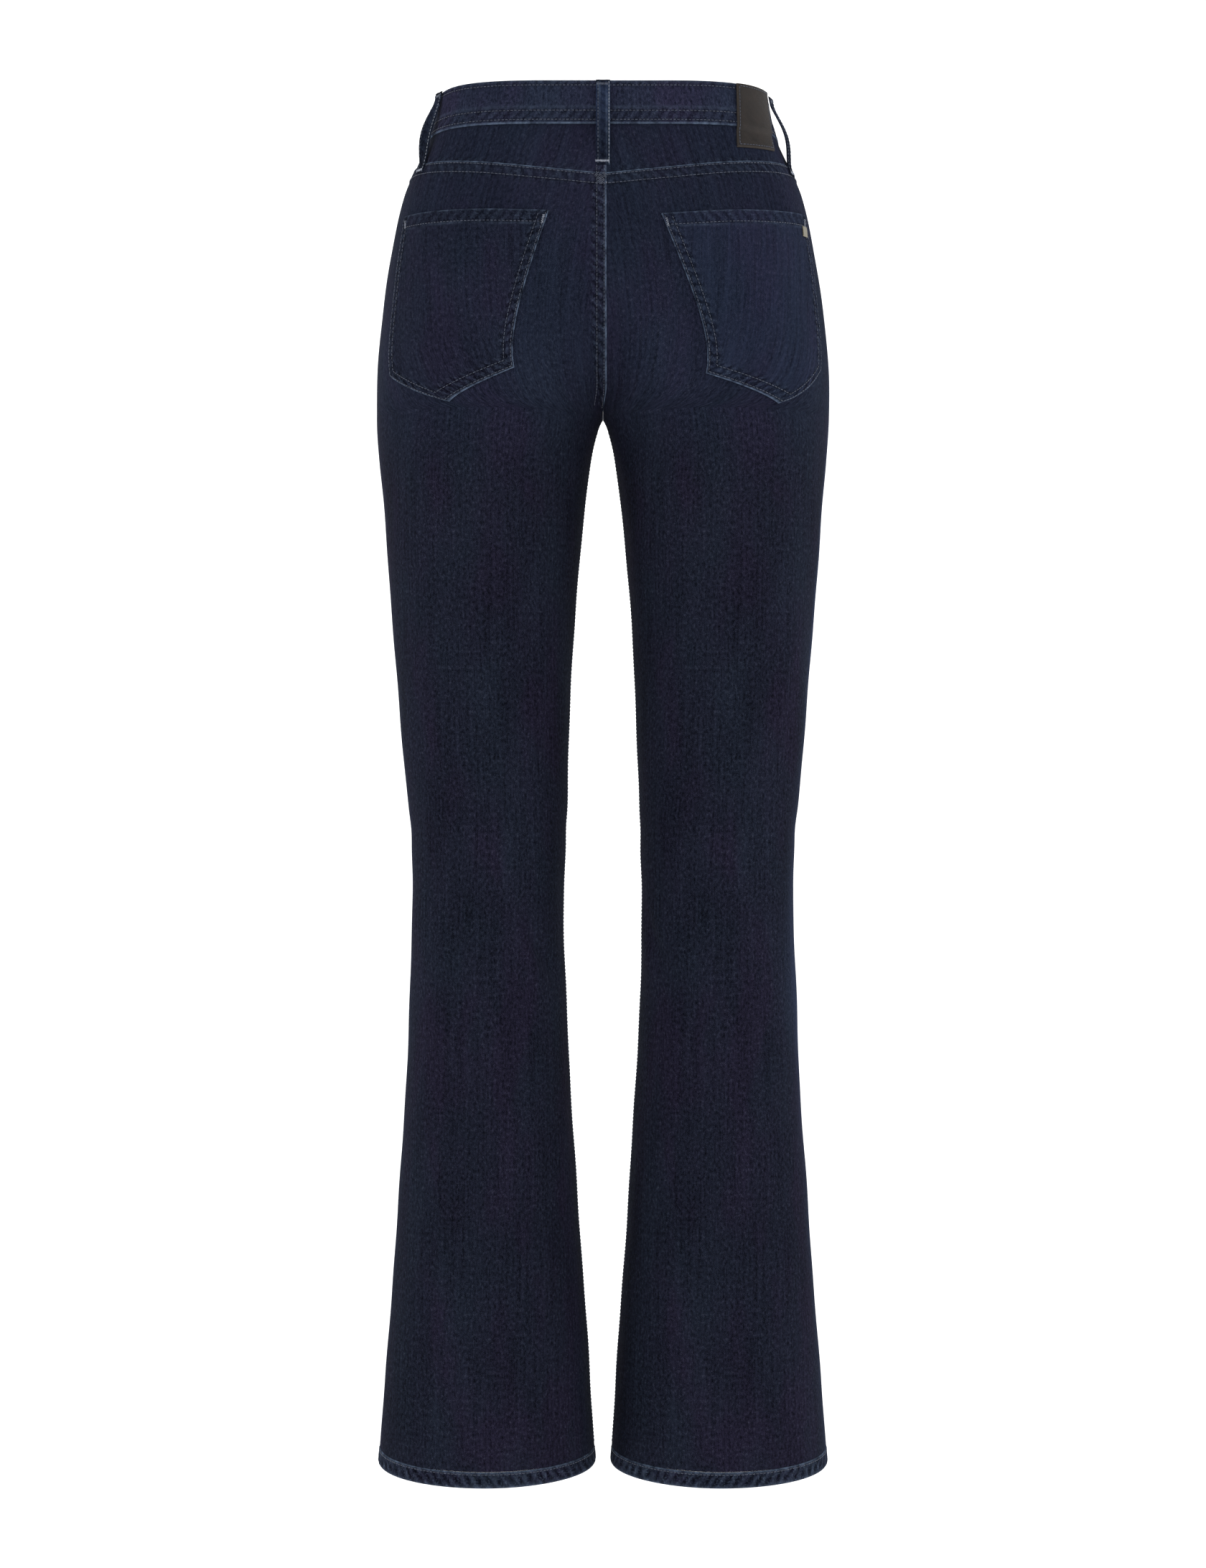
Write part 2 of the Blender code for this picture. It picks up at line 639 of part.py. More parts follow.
def points_across(loop, z, off):
    """Points of the cloth under a belt loop's width at height z."""
    reach = loop["reach_top"] + (loop["reach_low"] - loop["reach_top"]) * (loop["top"] - z) / (loop["top"] - loop["low"])
    points = []
    for share in (-0.5, -0.25, 0, 0.25, 0.5):
        value = reach + LOOP_WIDTH * share
        turn = turn_at_reach(abs(value), z, loop["back"])
        points.append(on_facets(turn, z, off, loop["side"] if value >= 0 else -loop["side"]))
    return points


def loop_line(loop):
    """The strap's inner face, top to bottom, tacked at both ends and bowed out between, and its level normal."""
    low = loop["low"]
    tacks = [loop["top"], loop["top"] - LOOP_TACK, low + LOOP_TACK, low]
    offs = [BAND_PROUD + 1.5 * SEAM_GAP] * 2 + [1.5 * SEAM_GAP] * 2
    rows = [points_across(loop, z, off) for z, off in zip(tacks, offs)]
    along = rows[2][-1] - rows[2][0]
    away = Vector((along.y, -along.x, 0)).normalized()
    away *= math.copysign(1, away.dot(Vector((rows[0][2].x, rows[0][2].y, 0))))
    seats = []
    for row in rows:
        middle = (row[0] + row[-1]) / 2
        seats.append(middle + away * max((point - middle).dot(away) for point in row))
    start, upper, lower, end = seats
    line = [start, upper]
    for k in range(1, 8):
        share = k / 8
        line.append(upper.lerp(lower, share) + away * loop["bow"] * math.sin(math.pi * share) ** 1.4)
    return [*line, lower, end], away


def make_belt_loops():
    for loop in BELT_LOOPS:
        loop["top"] = band_top(turn_at_reach(loop["reach_top"], BAND_TOP_SIDE, loop["back"]))
        line, away = loop_line(loop)
        across = Vector((0, 0, 1)).cross(away).normalized() * LOOP_WIDTH / 2
        inner = [[point - across, point + across] for point in line]
        outer = [[point + away * LOOP_THICK for point in row] for row in inner]
        add_object(loop["node"], wall(outer, inner), "denim_loop")


def make_patch():
    """A bare leather patch over the band and the top of the right yoke, easing down from one to the other."""
    turns = back_turns()
    offs = (BAND_PROUD, BAND_PROUD, BAND_PROUD, BAND_PROUD / 2, 0.0)
    grids = []
    for thick in (PATCH_THICK, 0.0):
        columns = []
        for turn in turns:
            heights = (*band_heights(turn), band_bottom(turn) - PATCH_EASE, yoke_bottom(turn))
            columns.append([placed(turn, z, off + SEAM_GAP + thick, -1) for z, off in zip(heights, offs)])
        grids.append([list(row) for row in zip(*columns)])
    patch = add_object("label_patch", wall(*grids), "leather")
    window = (PATCH_BOTTOM_Z, BAND_TOP_SIDE + 0.03)
    boolean(patch, window_cutter("patch_cutter", PATCH_REACH, window, -1), "INTERSECT")


def main():
    clear_scene()
    make_panels()
    make_pocket_facings()
    make_hems()
    make_back_pockets()
    make_pocket_tab()
    make_waistband()
    make_button()
    make_fly()
    make_belt_loops()
    make_patch()


main()
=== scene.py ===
import math

import bmesh
import bpy
import numpy as np
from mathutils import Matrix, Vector


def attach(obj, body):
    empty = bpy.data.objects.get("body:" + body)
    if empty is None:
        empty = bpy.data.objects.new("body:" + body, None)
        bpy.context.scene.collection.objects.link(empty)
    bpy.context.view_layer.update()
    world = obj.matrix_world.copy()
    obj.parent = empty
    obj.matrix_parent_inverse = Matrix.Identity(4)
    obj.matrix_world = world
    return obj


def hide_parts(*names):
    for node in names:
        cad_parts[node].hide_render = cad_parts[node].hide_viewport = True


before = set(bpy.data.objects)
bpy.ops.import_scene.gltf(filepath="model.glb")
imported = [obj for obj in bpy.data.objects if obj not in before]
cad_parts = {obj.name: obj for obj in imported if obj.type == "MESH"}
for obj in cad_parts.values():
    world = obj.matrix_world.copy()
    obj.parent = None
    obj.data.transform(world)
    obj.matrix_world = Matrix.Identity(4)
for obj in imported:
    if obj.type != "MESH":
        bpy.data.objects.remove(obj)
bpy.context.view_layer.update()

# Flared jeans, hollow, held at the waist. Metres, +Z up, front towards -Y, wearer's left +X.
# turn runs 0 at the centre front (the inseam, lower down), 1 front, 2 outseam, 3 back, 4 centre back.

print("body shape")

# half of the outline, in thousandths: z, outseam x, inseam x, front and back apex x, front and back depth,
# and how square the corners are
bodyRows = [[value / 1000 for value in row] for row in (
    (24, 136.5, 0, 50, 52, 81, 79, 700),
    (0, 140.8, 0, 50, 54, 83, 82, 700),
    (-18, 146.1, 0, 52, 57, 86, 86, 690),
    (-38, 155.4, 0, 54, 62, 90, 91, 670),
    (-60, 165.2, 0, 57, 68, 94, 97, 650),
    (-100, 174.6, 0, 64, 77, 98, 109, 620),
    (-150, 182.5, 0, 75, 85, 99, 118, 600),
    (-200, 187.6, 0, 86, 90, 97, 120, 600),
    (-247, 188.4, 0, 93, 95, 93, 112, 600),
    (-280, 186, 10.6, 96, 98, 90, 104, 590),
    (-320, 182.6, 15.6, 97, 99, 87, 95, 580),
    (-360, 179.6, 19.8, 98, 99, 84, 88, 580),
    (-420, 175.2, 24.4, 98, 99, 80, 81, 570),
    (-480, 170.6, 27.5, 98, 98, 76, 75, 570),
    (-540, 165, 29.9, 97, 97, 72, 70, 560),
    (-590, 160.2, 31.2, 96, 96, 68, 66, 560),
    (-640, 159, 32.9, 96, 96, 65, 64, 560),
    (-700, 160.2, 32.4, 96, 96, 64, 66, 560),
    (-780, 163.4, 28.7, 96, 96, 65, 69, 560),
    (-860, 168, 24, 96, 96, 67, 72, 560),
    (-940, 173.7, 18.5, 96, 96, 69, 75, 560),
    (-1020, 179.8, 12.8, 96, 96, 71, 78, 560),
    (-1120, 187.5, 6, 96, 96, 73, 80, 560),
)]

# the seat seam: z, dent front and back, and the angle in degrees at which the cloth leaves it
seatSeamRows = [
    (0.024, 0, 0, 0, 0),
    (-0.02, 0, 0, 0, 0),
    (-0.06, 0, 0.001, 0, 1),
    (-0.1, 0.001, 0.004, 2, 7),
    (-0.15, 0.002, 0.008, 8, 18),
    (-0.19, 0.003, 0.009, 22, 34),
    (-0.22, 0.003, 0.008, 46, 56),
    (-0.238, 0.002, 0.006, 70, 74),
    (-0.247, 0, 0, 88, 88),
]

body = {
    "cloth": 0.0012,
    "gap": 0.0003,
    "crotchZ": -0.247,
    "frontCurveTop": -0.17,
    "backCurveTop": -0.15,
    "seatFillet": 0.004,  # how wide the centre back seam rounds off its dent
    "rows": 0.0036,  # spacing of the rows of a panel's mesh
    "columns": 44,
}


def smoothColumn(rows, index, z):
    heights = np.array([row[0] for row in rows])[::-1]
    values = np.array([row[index] for row in rows])[::-1]
    slopes = np.empty(len(values))
    slopes[1:-1] = (values[2:] - values[:-2]) / (heights[2:] - heights[:-2])
    slopes[0] = (values[1] - values[0]) / (heights[1] - heights[0])
    slopes[-1] = (values[-1] - values[-2]) / (heights[-1] - heights[-2])
    z = np.clip(z, heights[0], heights[-1])
    k = np.clip(np.searchsorted(heights, z, side="right") - 1, 0, len(heights) - 2)
    span = heights[k + 1] - heights[k]
    u = (z - heights[k]) / span
    v = 1 - u
    ends = values[k] * (1 + 2 * u) * v**2 + values[k + 1] * u * u * (3 - 2 * u)
    return ends + slopes[k] * span * u * v**2 - slopes[k + 1] * span * u * u * v


squareRows = [(row[0], row[2] ** 2) for row in bodyRows]  # the legs part along a narrow arch


def inseamX(z):
    return np.sqrt(np.maximum(smoothColumn(squareRows, 1, z), 0))


def inseamY(z):
    return 0.005 * np.clip((z + 0.62) / 0.37, 0, 1)


def smoothStep(low, high, value):
    u = np.clip((value - low) / (high - low), 0, 1)
    return u * u * (3 - 2 * u)


def bell(distance, width):
    return np.exp(-((distance / width) ** 2))


def bezier(a, b, c, d, u):
    v = 1 - u
    return a * v**3 + b * 3 * v * v * u + c * 3 * v * u * u + d * u**3


def outline(turn, z):  # x and y of the outer face, turn 0 to 4
    back = turn > 2
    sign = np.where(back, 1.0, -1.0)

    def pick(rows, index):  # the front's column, or the back's beside it
        return np.where(back, smoothColumn(rows, index + 1, z), smoothColumn(rows, index, z))

    apexX, depth, dent = pick(bodyRows, 3), pick(bodyRows, 5), pick(seatSeamRows, 1)
    angle = np.radians(pick(seatSeamRows, 3))
    curveTop = np.where(back, body["backCurveTop"], body["frontCurveTop"])
    outer, square = smoothColumn(bodyRows, 1, z), smoothColumn(bodyRows, 7, z)
    apexY = sign * depth
    u = np.clip(np.abs(turn - 2), 0, 1)
    sideX = bezier(outer, outer, apexX + square * (outer - apexX), apexX, u)
    sideY = bezier(0 * outer, square * apexY, apexY, apexY, u)
    rise = np.clip((z - body["crotchZ"]) / (curveTop - body["crotchZ"]), 0, 1)
    low = inseamY(body["crotchZ"])
    seatY = low + (sign * (depth - dent) - low) * np.sqrt(1 - (1 - rise) ** 2)
    leg = z <= body["crotchZ"]
    startX, startY = np.where(leg, inseamX(z), 0.0), np.where(leg, inseamY(z), seatY)
    leaveX, leaveY = np.where(leg, 0.0, np.cos(angle)), np.where(leg, sign, sign * np.sin(angle))
    across = apexX - startX
    reach = square * (np.abs(apexY - startY) * np.abs(leaveY) + across * leaveX)
    u = np.clip(np.where(turn < 2, turn, 4 - turn), 0, 1)
    innerX = bezier(startX, startX + leaveX * reach, apexX - 0.52 * across, apexX, u)
    innerY = bezier(startY, startY + leaveY * reach, apexY, apexY, u)
    inner = (turn < 1) | (turn > 3)
    return np.where(inner, innerX, sideX), np.where(inner, innerY, sideY)


def skin(turn, z):  # a point of the left half, or past turn 0 or 4 of the right one
    turn, z = np.broadcast_arrays(np.asarray(turn, float), np.asarray(z, float))
    wrapped = turn % 8
    crossed = wrapped > 4
    half = np.where(crossed, 8 - wrapped, wrapped)
    x, y = outline(half, z)
    angle = np.radians(smoothColumn(seatSeamRows, 4, z))
    slope = np.minimum(np.tan(np.minimum(angle, 1.2)), 1.2) * smoothStep(body["crotchZ"] + 0.002, -0.232, z)
    width = body["seatFillet"]
    y = y + np.where(half > 2, slope * (np.sqrt(x * x + width * width) - x), 0)
    return np.stack([np.where(crossed, -x, x), y, z], axis=-1)


def skinNormal(turn, z):
    turn, z = np.broadcast_arrays(np.asarray(turn, float), np.asarray(z, float))
    leg, crotch = z <= body["crotchZ"], body["crotchZ"]
    low = np.where(leg, np.maximum(turn - 0.02, 0), turn - 0.02)
    high = np.where(leg, np.minimum(turn + 0.02, 4), turn + 0.02)
    over = np.where(leg, np.minimum(z + 0.003, crotch), z + 0.003)
    under = np.where(leg, z - 0.003, np.maximum(z - 0.003, crotch + 1e-5))
    normal = np.cross(skin(high, z) - skin(low, z), skin(turn, over) - skin(turn, under))
    return normal / np.linalg.norm(normal, axis=-1, keepdims=True)


def turnAtX(x, z, back):  # the turn where the outline is x from the centre plane
    z = np.broadcast_to(np.asarray(z, float), np.shape(x))
    low, high = np.zeros(np.shape(x)), np.full(np.shape(x), 2.0)
    for _ in range(26):
        middle = (low + high) / 2
        under = outline(4 - middle if back else middle, z)[0] < x
        low, high = np.where(under, middle, low), np.where(under, high, middle)
    return 4 - low if back else low


def walkOf(points):  # how far along a line each of its points is
    return np.concatenate([[0], np.cumsum(np.linalg.norm(np.diff(points, axis=0), axis=1))])


def turnAtReach(reach, z, back):  # the turn that lies reach metres round from the centre back or front
    turns = np.linspace(4, 0, 500) if back else np.linspace(0, 4, 500)
    points = np.stack(outline(turns, np.full(500, z)), axis=-1)
    return float(np.interp(reach, walkOf(points), turns))


def turnsAtReach(reach, z, back):  # the same for arrays, on both sides of the centre
    reach, z = np.broadcast_arrays(np.asarray(reach, float), np.asarray(z, float))
    turns = np.linspace(4, 0.6, 260) if back else np.linspace(0, 3.4, 260)
    x, y = outline(*np.broadcast_arrays(turns[None], z.ravel()[:, None]))
    walked = np.cumsum(np.hypot(np.diff(x, axis=1), np.diff(y, axis=1)), axis=1)
    walked = np.concatenate([np.zeros((z.size, 1)), walked], axis=1)
    found = np.array([np.interp(abs(r), row, turns) for r, row in zip(reach.ravel(), walked)])
    found = found.reshape(reach.shape)
    return np.where(reach < 0, 8 - found, found) if back else np.where(reach < 0, -found, found)


# creases, in millimetres: face, three points (x or y, then z), width, depth, and how much bulges beside it
creases = [
    ("back", (60, -668, 50, -690, 38, -712), 5.5, 2.8, 0.7),
    ("back", (-34, -655, -42, -682, -52, -706), 6, 3, 0.7),
    ("back", (132, -560, 100, -572, 62, -558), 10, 2.2, 0.8),
    ("back", (-54, -552, -90, -574, -134, -562), 10, 2.4, 0.8),
    ("back", (120, -602, 90, -612, 56, -600), 8, 1.6, 0.6),
    ("back", (-60, -604, -96, -616, -126, -602), 8, 1.6, 0.6),
    ("back", (10, -262, 45, -284, 92, -290), 10, 2, 0.6),
    ("back", (-10, -262, -48, -288, -100, -292), 10, 2.2, 0.6),
    ("back", (20, -300, 50, -330, 84, -344), 11, 1.3, 0.6),
    ("back", (-20, -306, -52, -336, -90, -346), 11, 1.3, 0.6),
    ("back", (150, -760, 120, -800, 98, -860), 14, 1.2, 0.6),
    ("back", (-146, -740, -116, -790, -92, -850), 14, 1.2, 0.6),
    ("front", (4, -250, 38, -226, 80, -214), 7, 2.2, 0.7),
    ("front", (-4, -250, -36, -230, -84, -222), 7, 2.2, 0.7),
    ("front", (6, -262, 40, -258, 74, -268), 8, 1.6, 0.6),
    ("front", (-6, -264, -44, -262, -80, -274), 8, 1.6, 0.6),
    ("front", (130, -600, 98, -590, 64, -604), 10, 1.6, 0.6),
    ("front", (-62, -590, -96, -582, -132, -598), 10, 1.6, 0.6),
    ("front", (140, -650, 104, -640, 80, -652), 9, 1.2, 0.6),
    ("front", (-76, -646, -110, -636, -136, -650), 9, 1.2, 0.6),
    ("left", (40, -575, 0, -590, -36, -580), 12, 0.6, 0.6),
    ("right", (44, -570, 6, -586, -34, -578), 12, 0.6, 0.6),
]


def softLine(values, at):  # a smooth curve through a few values
    count = len(values)
    k = np.clip(at.astype(int), 0, count - 2)
    u = at - k
    before, after = values[np.maximum(k - 1, 0)], values[np.minimum(k + 2, count - 1)]
    a, b = values[k], values[k + 1]
    bend = (2 * before - 5 * a + 4 * b - after) * u**2 + (3 * a - before - 3 * b + after) * u**3
    return 0.5 * (2 * a + (b - before) * u + bend)


def distanceTo(spots, line):
    gaps = np.linalg.norm(spots[..., None, :] - line, axis=-1)
    return gaps.min(axis=-1), gaps.argmin(axis=-1)


def creaseDepth(point, normal):
    x, y, z = np.moveaxis(point, -1, 0)
    waves = 0.00035 * np.sin(z * 61 + x * 47) * np.sin(z * 23 - x * 83 + 1.7)
    waves += 0.0003 * np.sin(z * 37 - y * 71 + 0.6) * np.sin(x * 59 + 2.1)
    total = waves * smoothStep(-0.06, -0.14, z) * smoothStep(-1.1, -1.04, z)
    ways = {"back": (x, normal[..., 1]), "front": (x, -normal[..., 1])}
    ways.update({"left": (y, normal[..., 0]), "right": (y, -normal[..., 0])})
    for face, points, width, depth, bulge in creases:
        line, (plane, facing) = np.array(points).reshape(3, 2) / 1000, ways[face]
        close = np.ptp(line[:, 1]) / 2 + 0.005 * width
        near = (np.abs(z - line[:, 1].mean()) < close) & (facing > 0)
        if not near.any():
            continue
        spots = np.stack([plane[near], z[near]], axis=-1)
        curve = np.stack([softLine(line[:, k], np.linspace(0, 2, 25)) for k in (0, 1)], axis=-1)
        gap, nearest = distanceTo(spots, curve)
        offset, tangent = spots - curve[nearest], np.gradient(curve, axis=0)[nearest]
        signed = np.sign(tangent[:, 0] * offset[:, 1] - tangent[:, 1] * offset[:, 0]) * gap
        share = nearest / 24
        wide = width / 1000 * (0.75 + 0.5 * share)
        ridge = bell(signed - 1.9 * wide, 1.4 * wide) + 0.35 * bell(signed + 2.0 * wide, 1.5 * wide)
        fade = np.sin(np.pi * (0.04 + 0.92 * share)) ** 0.8 * smoothStep(0.05, 0.45, facing[near])
        total[near] += depth / 1000 * fade * (bulge * ridge - bell(signed, wide))
    return total


def onCloth(turn, z, off, side=1):  # points off metres outside the cloth, on the left (1) or right (-1)
    mirror = np.array([side, 1, 1])
    point, normal = skin(turn, z) * mirror, skinNormal(turn, z) * mirror
    return point + normal * (np.asarray(off) + creaseDepth(point, normal))[..., None]


def clothNormal(turn, z, side=1):
    return skinNormal(turn, z) * np.array([side, 1, 1])


waistband = {
    "height": 0.0365,
    "topSide": 0.018,
    "tilt": 0.097,
    "dip": 0.66,
    "proud": 0.0008,
    "thick": 0.0024,
    "ridgeAt": 0.0225,  # below the top edge, where the turned-in allowance ends
    "stitchRows": (0.0042, 0.0255, 0.0333),
}
yoke = {"centreZ": -0.0564, "sideZ": -0.04}
hem = {
    "z": -1.115,
    "height": 0.013,
    "tilt": 0.09,
    "proud": 0.0004,
    "thick": 0.0024,
    "roping": 0.0085,  # from twist to twist
    "stitchRow": 0.002,
}


def bandTop(turn):
    half = np.where(turn % 8 > 4, 8 - turn % 8, turn % 8)
    y = outline(half, np.full(np.shape(half), waistband["topSide"]))[1]
    return waistband["topSide"] + waistband["tilt"] * y - waistband["dip"] * y * y


def bandBottom(turn):
    return bandTop(turn) - waistband["height"]


def yokeBottom(turn):
    half = np.where(turn > 4, 8 - turn, turn)
    x = outline(half, np.full(np.shape(half), yoke["sideZ"]))[0]
    share = np.minimum(x / smoothColumn(bodyRows, 1, yoke["sideZ"]), 1)
    return yoke["centreZ"] + (yoke["sideZ"] - yoke["centreZ"]) * share


def hemTop(turn):
    return hem["z"] + hem["height"] - hem["tilt"] * outline(turn, np.full(np.shape(turn), hem["z"]))[1]


print("mesh helpers")


def newThing(name, points, faces, sharp=None):
    mesh = bpy.data.meshes.new(name)
    mesh.from_pydata(points.tolist(), [], faces)
    mesh.shade_smooth()
    if sharp:
        mesh.set_sharp_from_angle(angle=math.radians(sharp))
    thing = bpy.data.objects.new(name, mesh)
    bpy.context.scene.collection.objects.link(thing)
    return thing


def clothMesh(name, outer, inner, uv, seam, wearAndPaintedLight, ring=False, flip=False):
    # a closed shell between two grids; uv and seam give each point's place in the weave and beside its seam
    rows, cols = outer.shape[:2]
    uvCols = cols + 1 if ring else cols
    i, j = [a.ravel() for a in np.meshgrid(np.arange(rows - 1), np.arange(uvCols - 1), indexing="ij")]
    across, down, last, end = np.arange(uvCols - 1), np.arange(rows - 1), rows - 1, cols - 1
    layers = [  # outer face, inner face, top and bottom edges, and the two sides unless it closes in a ring
        [(0, i, j), (0, i + 1, j), (0, i + 1, j + 1), (0, i, j + 1)],
        [(1, i, j), (1, i, j + 1), (1, i + 1, j + 1), (1, i + 1, j)],
        [(0, 0, across), (0, 0, across + 1), (1, 0, across + 1), (1, 0, across)],
        [(0, last, across + 1), (0, last, across), (1, last, across), (1, last, across + 1)],
    ]
    if not ring:
        layers.append([(0, down + 1, 0), (0, down, 0), (1, down, 0), (1, down + 1, 0)])
        layers.append([(0, down, end), (0, down + 1, end), (1, down + 1, end), (1, down, end)])
    faces, mapped, slots = [], [], []
    for k, corners in enumerate(layers):
        quads = [np.broadcast_arrays((c * rows + a) * cols + b % cols, a * uvCols + b) for c, a, b in corners]
        faces.append(np.stack([quad for quad, _ in quads], axis=1))
        mapped.append(np.stack([spot for _, spot in quads], axis=1))
        slots.append(np.full(len(faces[-1]), int(k == 1)))
    faces, mapped = np.concatenate(faces), np.concatenate(mapped)
    if flip:
        faces, mapped = faces[:, ::-1], mapped[:, ::-1]
    points = np.concatenate([outer.reshape(-1, 3), inner.reshape(-1, 3)])
    thing = newThing(name, points, faces.tolist(), 55)
    mesh = thing.data
    for layer, values in (("weave", uv), ("beside", seam)):
        made = mesh.uv_layers.new(name=layer)
        made.data.foreach_set("uv", values.reshape(-1, 2)[mapped.ravel()].astype(np.float32).ravel())
    mesh.uv_layers["weave"].active_render = True
    # per point: wear, painted sheen with fade, painted shade, and pucker strength
    colours = mesh.attributes.new("wearAndPaintedLight", "FLOAT_COLOR", "POINT")
    flat = wearAndPaintedLight[:, :cols].reshape(-1, 4)
    colours.data.foreach_set("color", np.concatenate([flat, flat]).astype(np.float32).ravel())
    mesh.polygons.foreach_set("material_index", np.concatenate(slots).astype(np.int32))
    return thing


def settle(thing, nodes, materials):  # the last step of every piece
    for material in materials:
        thing.data.materials.append(material)
    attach(thing, "root")
    if nodes:
        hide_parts(*nodes)
    return thing


def pack(*channels):
    return np.stack(np.broadcast_arrays(*channels), axis=-1)


def clothPiece(name, node, side, place, off, innerOff, uv, beside, wearAndPaintedLight, look, ring=False, turned=False):
    # place: turns and z; look: slot (not used), outer material and inner one; wear, painted sheen with fade,
    # painted shade and pucker go in the mesh's colour attribute
    turns, z = place
    outer, inner = onCloth(turns, z, off, side), onCloth(turns, z, innerOff, side)
    if ring:
        outer, inner = outer[:, :-1], inner[:, :-1]
    uv, beside, wearAndPaintedLight = (pack(*[channel + 0 * z for channel in group]) for group in (uv, beside, wearAndPaintedLight))
    piece = clothMesh(name, outer, inner, uv, beside, wearAndPaintedLight, ring, (side < 0) != turned)
    return settle(piece, [node], look[1:])


def spaced(steps, total, shares):  # at steps from both ends, and at shares of what lies between
    return np.concatenate([steps, steps[-1] + (total - 2 * steps[-1]) * shares, total - steps[::-1]])


def even(count):  # shares of the way, evenly between the ends
    return np.linspace(0, 1, count + 2)[1:-1]


def rowTurns(zRows, start, end, steps, shares):  # turns across a piece, and how far each is from both edges
    start, end = (np.broadcast_to(edge, zRows.shape)[:, None] for edge in (start, end))
    turns = start + (end - start) * np.linspace(0, 1, 220)
    lengths = np.linalg.norm(np.diff(skin(turns, zRows[:, None])[..., :2], axis=1), axis=-1)
    walked = np.concatenate([np.zeros((len(zRows), 1)), np.cumsum(lengths, axis=1)], axis=1)
    first = np.array([spaced(steps, row[-1], shares) for row in walked])
    made = np.array([np.interp(at, row, turned) for at, row, turned in zip(first, walked, turns)])
    return made, first, walked[:, -1:] - first


def edgeRound(distance, drop=0.0005, width=0.0012):  # a folded edge rolls down to its seam
    return -drop * np.clip(1 - distance / width, 0, 1) ** 2.2


def ledge(distance, width, height=1.0):  # layers of a felled seam, which end width in from the edge
    return height * (1 - smoothStep(width - 0.0016, width + 0.0016, distance))


def groove(distance, rows, depth=0.00022, width=0.0009):
    return sum(-depth * bell(distance - at, width) for at in rows)


def stitchShade(distance, rows, depth=0.55):  # the cloth lies dark under a row of stitches
    return sum(depth * bell(distance - at, 0.0007) for at in rows)


# pitch, length and radius of the stitches, and how far from its edge each seam's rows lie
thread = {
    "seam": (0.0031, 0.0025, 0.00027),
    "hem": (0.0031, 0.0026, 0.00028),
    "loop": (0.003, 0.0024, 0.00026),
}
seamRows = {
    "yoke": (0.0019, 0.0092),
    "centre": (0.0018, 0.0078),
    "inseam": (0.0018, 0.007),
    "mouth": (0.002, 0.0078),
}


def stitchRow(turns, z, off, side=1, size="seam"):
    return (onCloth(turns, z, off, side), clothNormal(turns, z, side), *thread[size])


def stitchMesh(name, rows, material):
    # rows: points, normals, pitch, length and radius; each stitch is a small cord that dips in at both ends
    along, fat, lift = (-0.5, -0.3, 0.3, 0.5), (0.35, 1.0, 1.0, 0.35), (-0.9, 0.25, 0.25, -0.9)
    sides = 5
    angles = 2 * np.pi * (np.arange(sides) + 0.5) / sides
    base = np.array([
        (k * sides + s, k * sides + (s + 1) % sides, (k + 1) * sides + (s + 1) % sides, (k + 1) * sides + s)
        for k in range(3) for s in range(sides)
    ])
    caps = [np.arange(sides)[::-1], 3 * sides + np.arange(sides)]
    points, faces, count = [], [], 0
    for line, normals, pitch, length, radius in rows:
        walked = walkOf(line)
        number = max(int(walked[-1] / pitch), 1)
        centres = (np.arange(number) + 0.5) * walked[-1] / number

        def at(values, s):
            return np.stack([np.interp(s, walked, values[:, c]) for c in range(3)], axis=-1)

        middle, up = at(line, centres), at(normals, centres)
        tangent = at(line, centres + length / 2) - at(line, centres - length / 2)
        tangent /= np.linalg.norm(tangent, axis=1, keepdims=True) + 1e-12
        up -= tangent * (up * tangent).sum(1, keepdims=True)
        up /= np.linalg.norm(up, axis=1, keepdims=True) + 1e-12
        beside = np.cross(tangent, up)
        rings = []
        for k in range(4):
            centre = middle + tangent * along[k] * length + up * lift[k] * radius
            rings += [centre + (beside * np.cos(a) + up * np.sin(a)) * radius * fat[k] for a in angles]
        points.append(np.stack(rings, axis=1).reshape(-1, 3))
        starts = count + np.arange(number) * 4 * sides
        faces += (base[None] + starts[:, None, None]).reshape(-1, 4).tolist()
        for cap in caps:
            faces += (cap[None] + starts[:, None]).tolist()
        count += number * 4 * sides
    return settle(newThing(name, np.concatenate(points), faces), [], [material])


def tack(centre, along, normal, length, width, radius=0.00028, gap=0.00052):
    # a bar tack: short threads side by side, as stitch rows for stitchMesh
    centre, along, normal = (np.asarray(v, float) for v in (centre, along, normal))
    along /= np.linalg.norm(along)
    across = np.cross(normal, along)
    made = []
    for k in range(max(int(length / gap), 2)):
        middle = centre + along * (k * gap - length / 2)
        end = across * width / 2 + along * 0.0003 * (1 if k % 2 else -1)
        line = np.array([middle - end, middle, middle + end])
        made.append((line, np.repeat(normal[None], 3, axis=0), width * 2, width, radius))
    return made


print("materials")


def setInputs(node, inputs):
    for key, value in inputs.items():
        if isinstance(value, Wire):
            node.id_data.links.new(value.socket, node.inputs[key])
        else:
            node.inputs[key].default_value = value


def addNode(tree, kind, inputs=None, output=0, **settings):
    made = tree.nodes.new(kind)
    for name, value in settings.items():
        setattr(made, name, value)
    setInputs(made, inputs or {})
    return Wire(made.outputs[output])


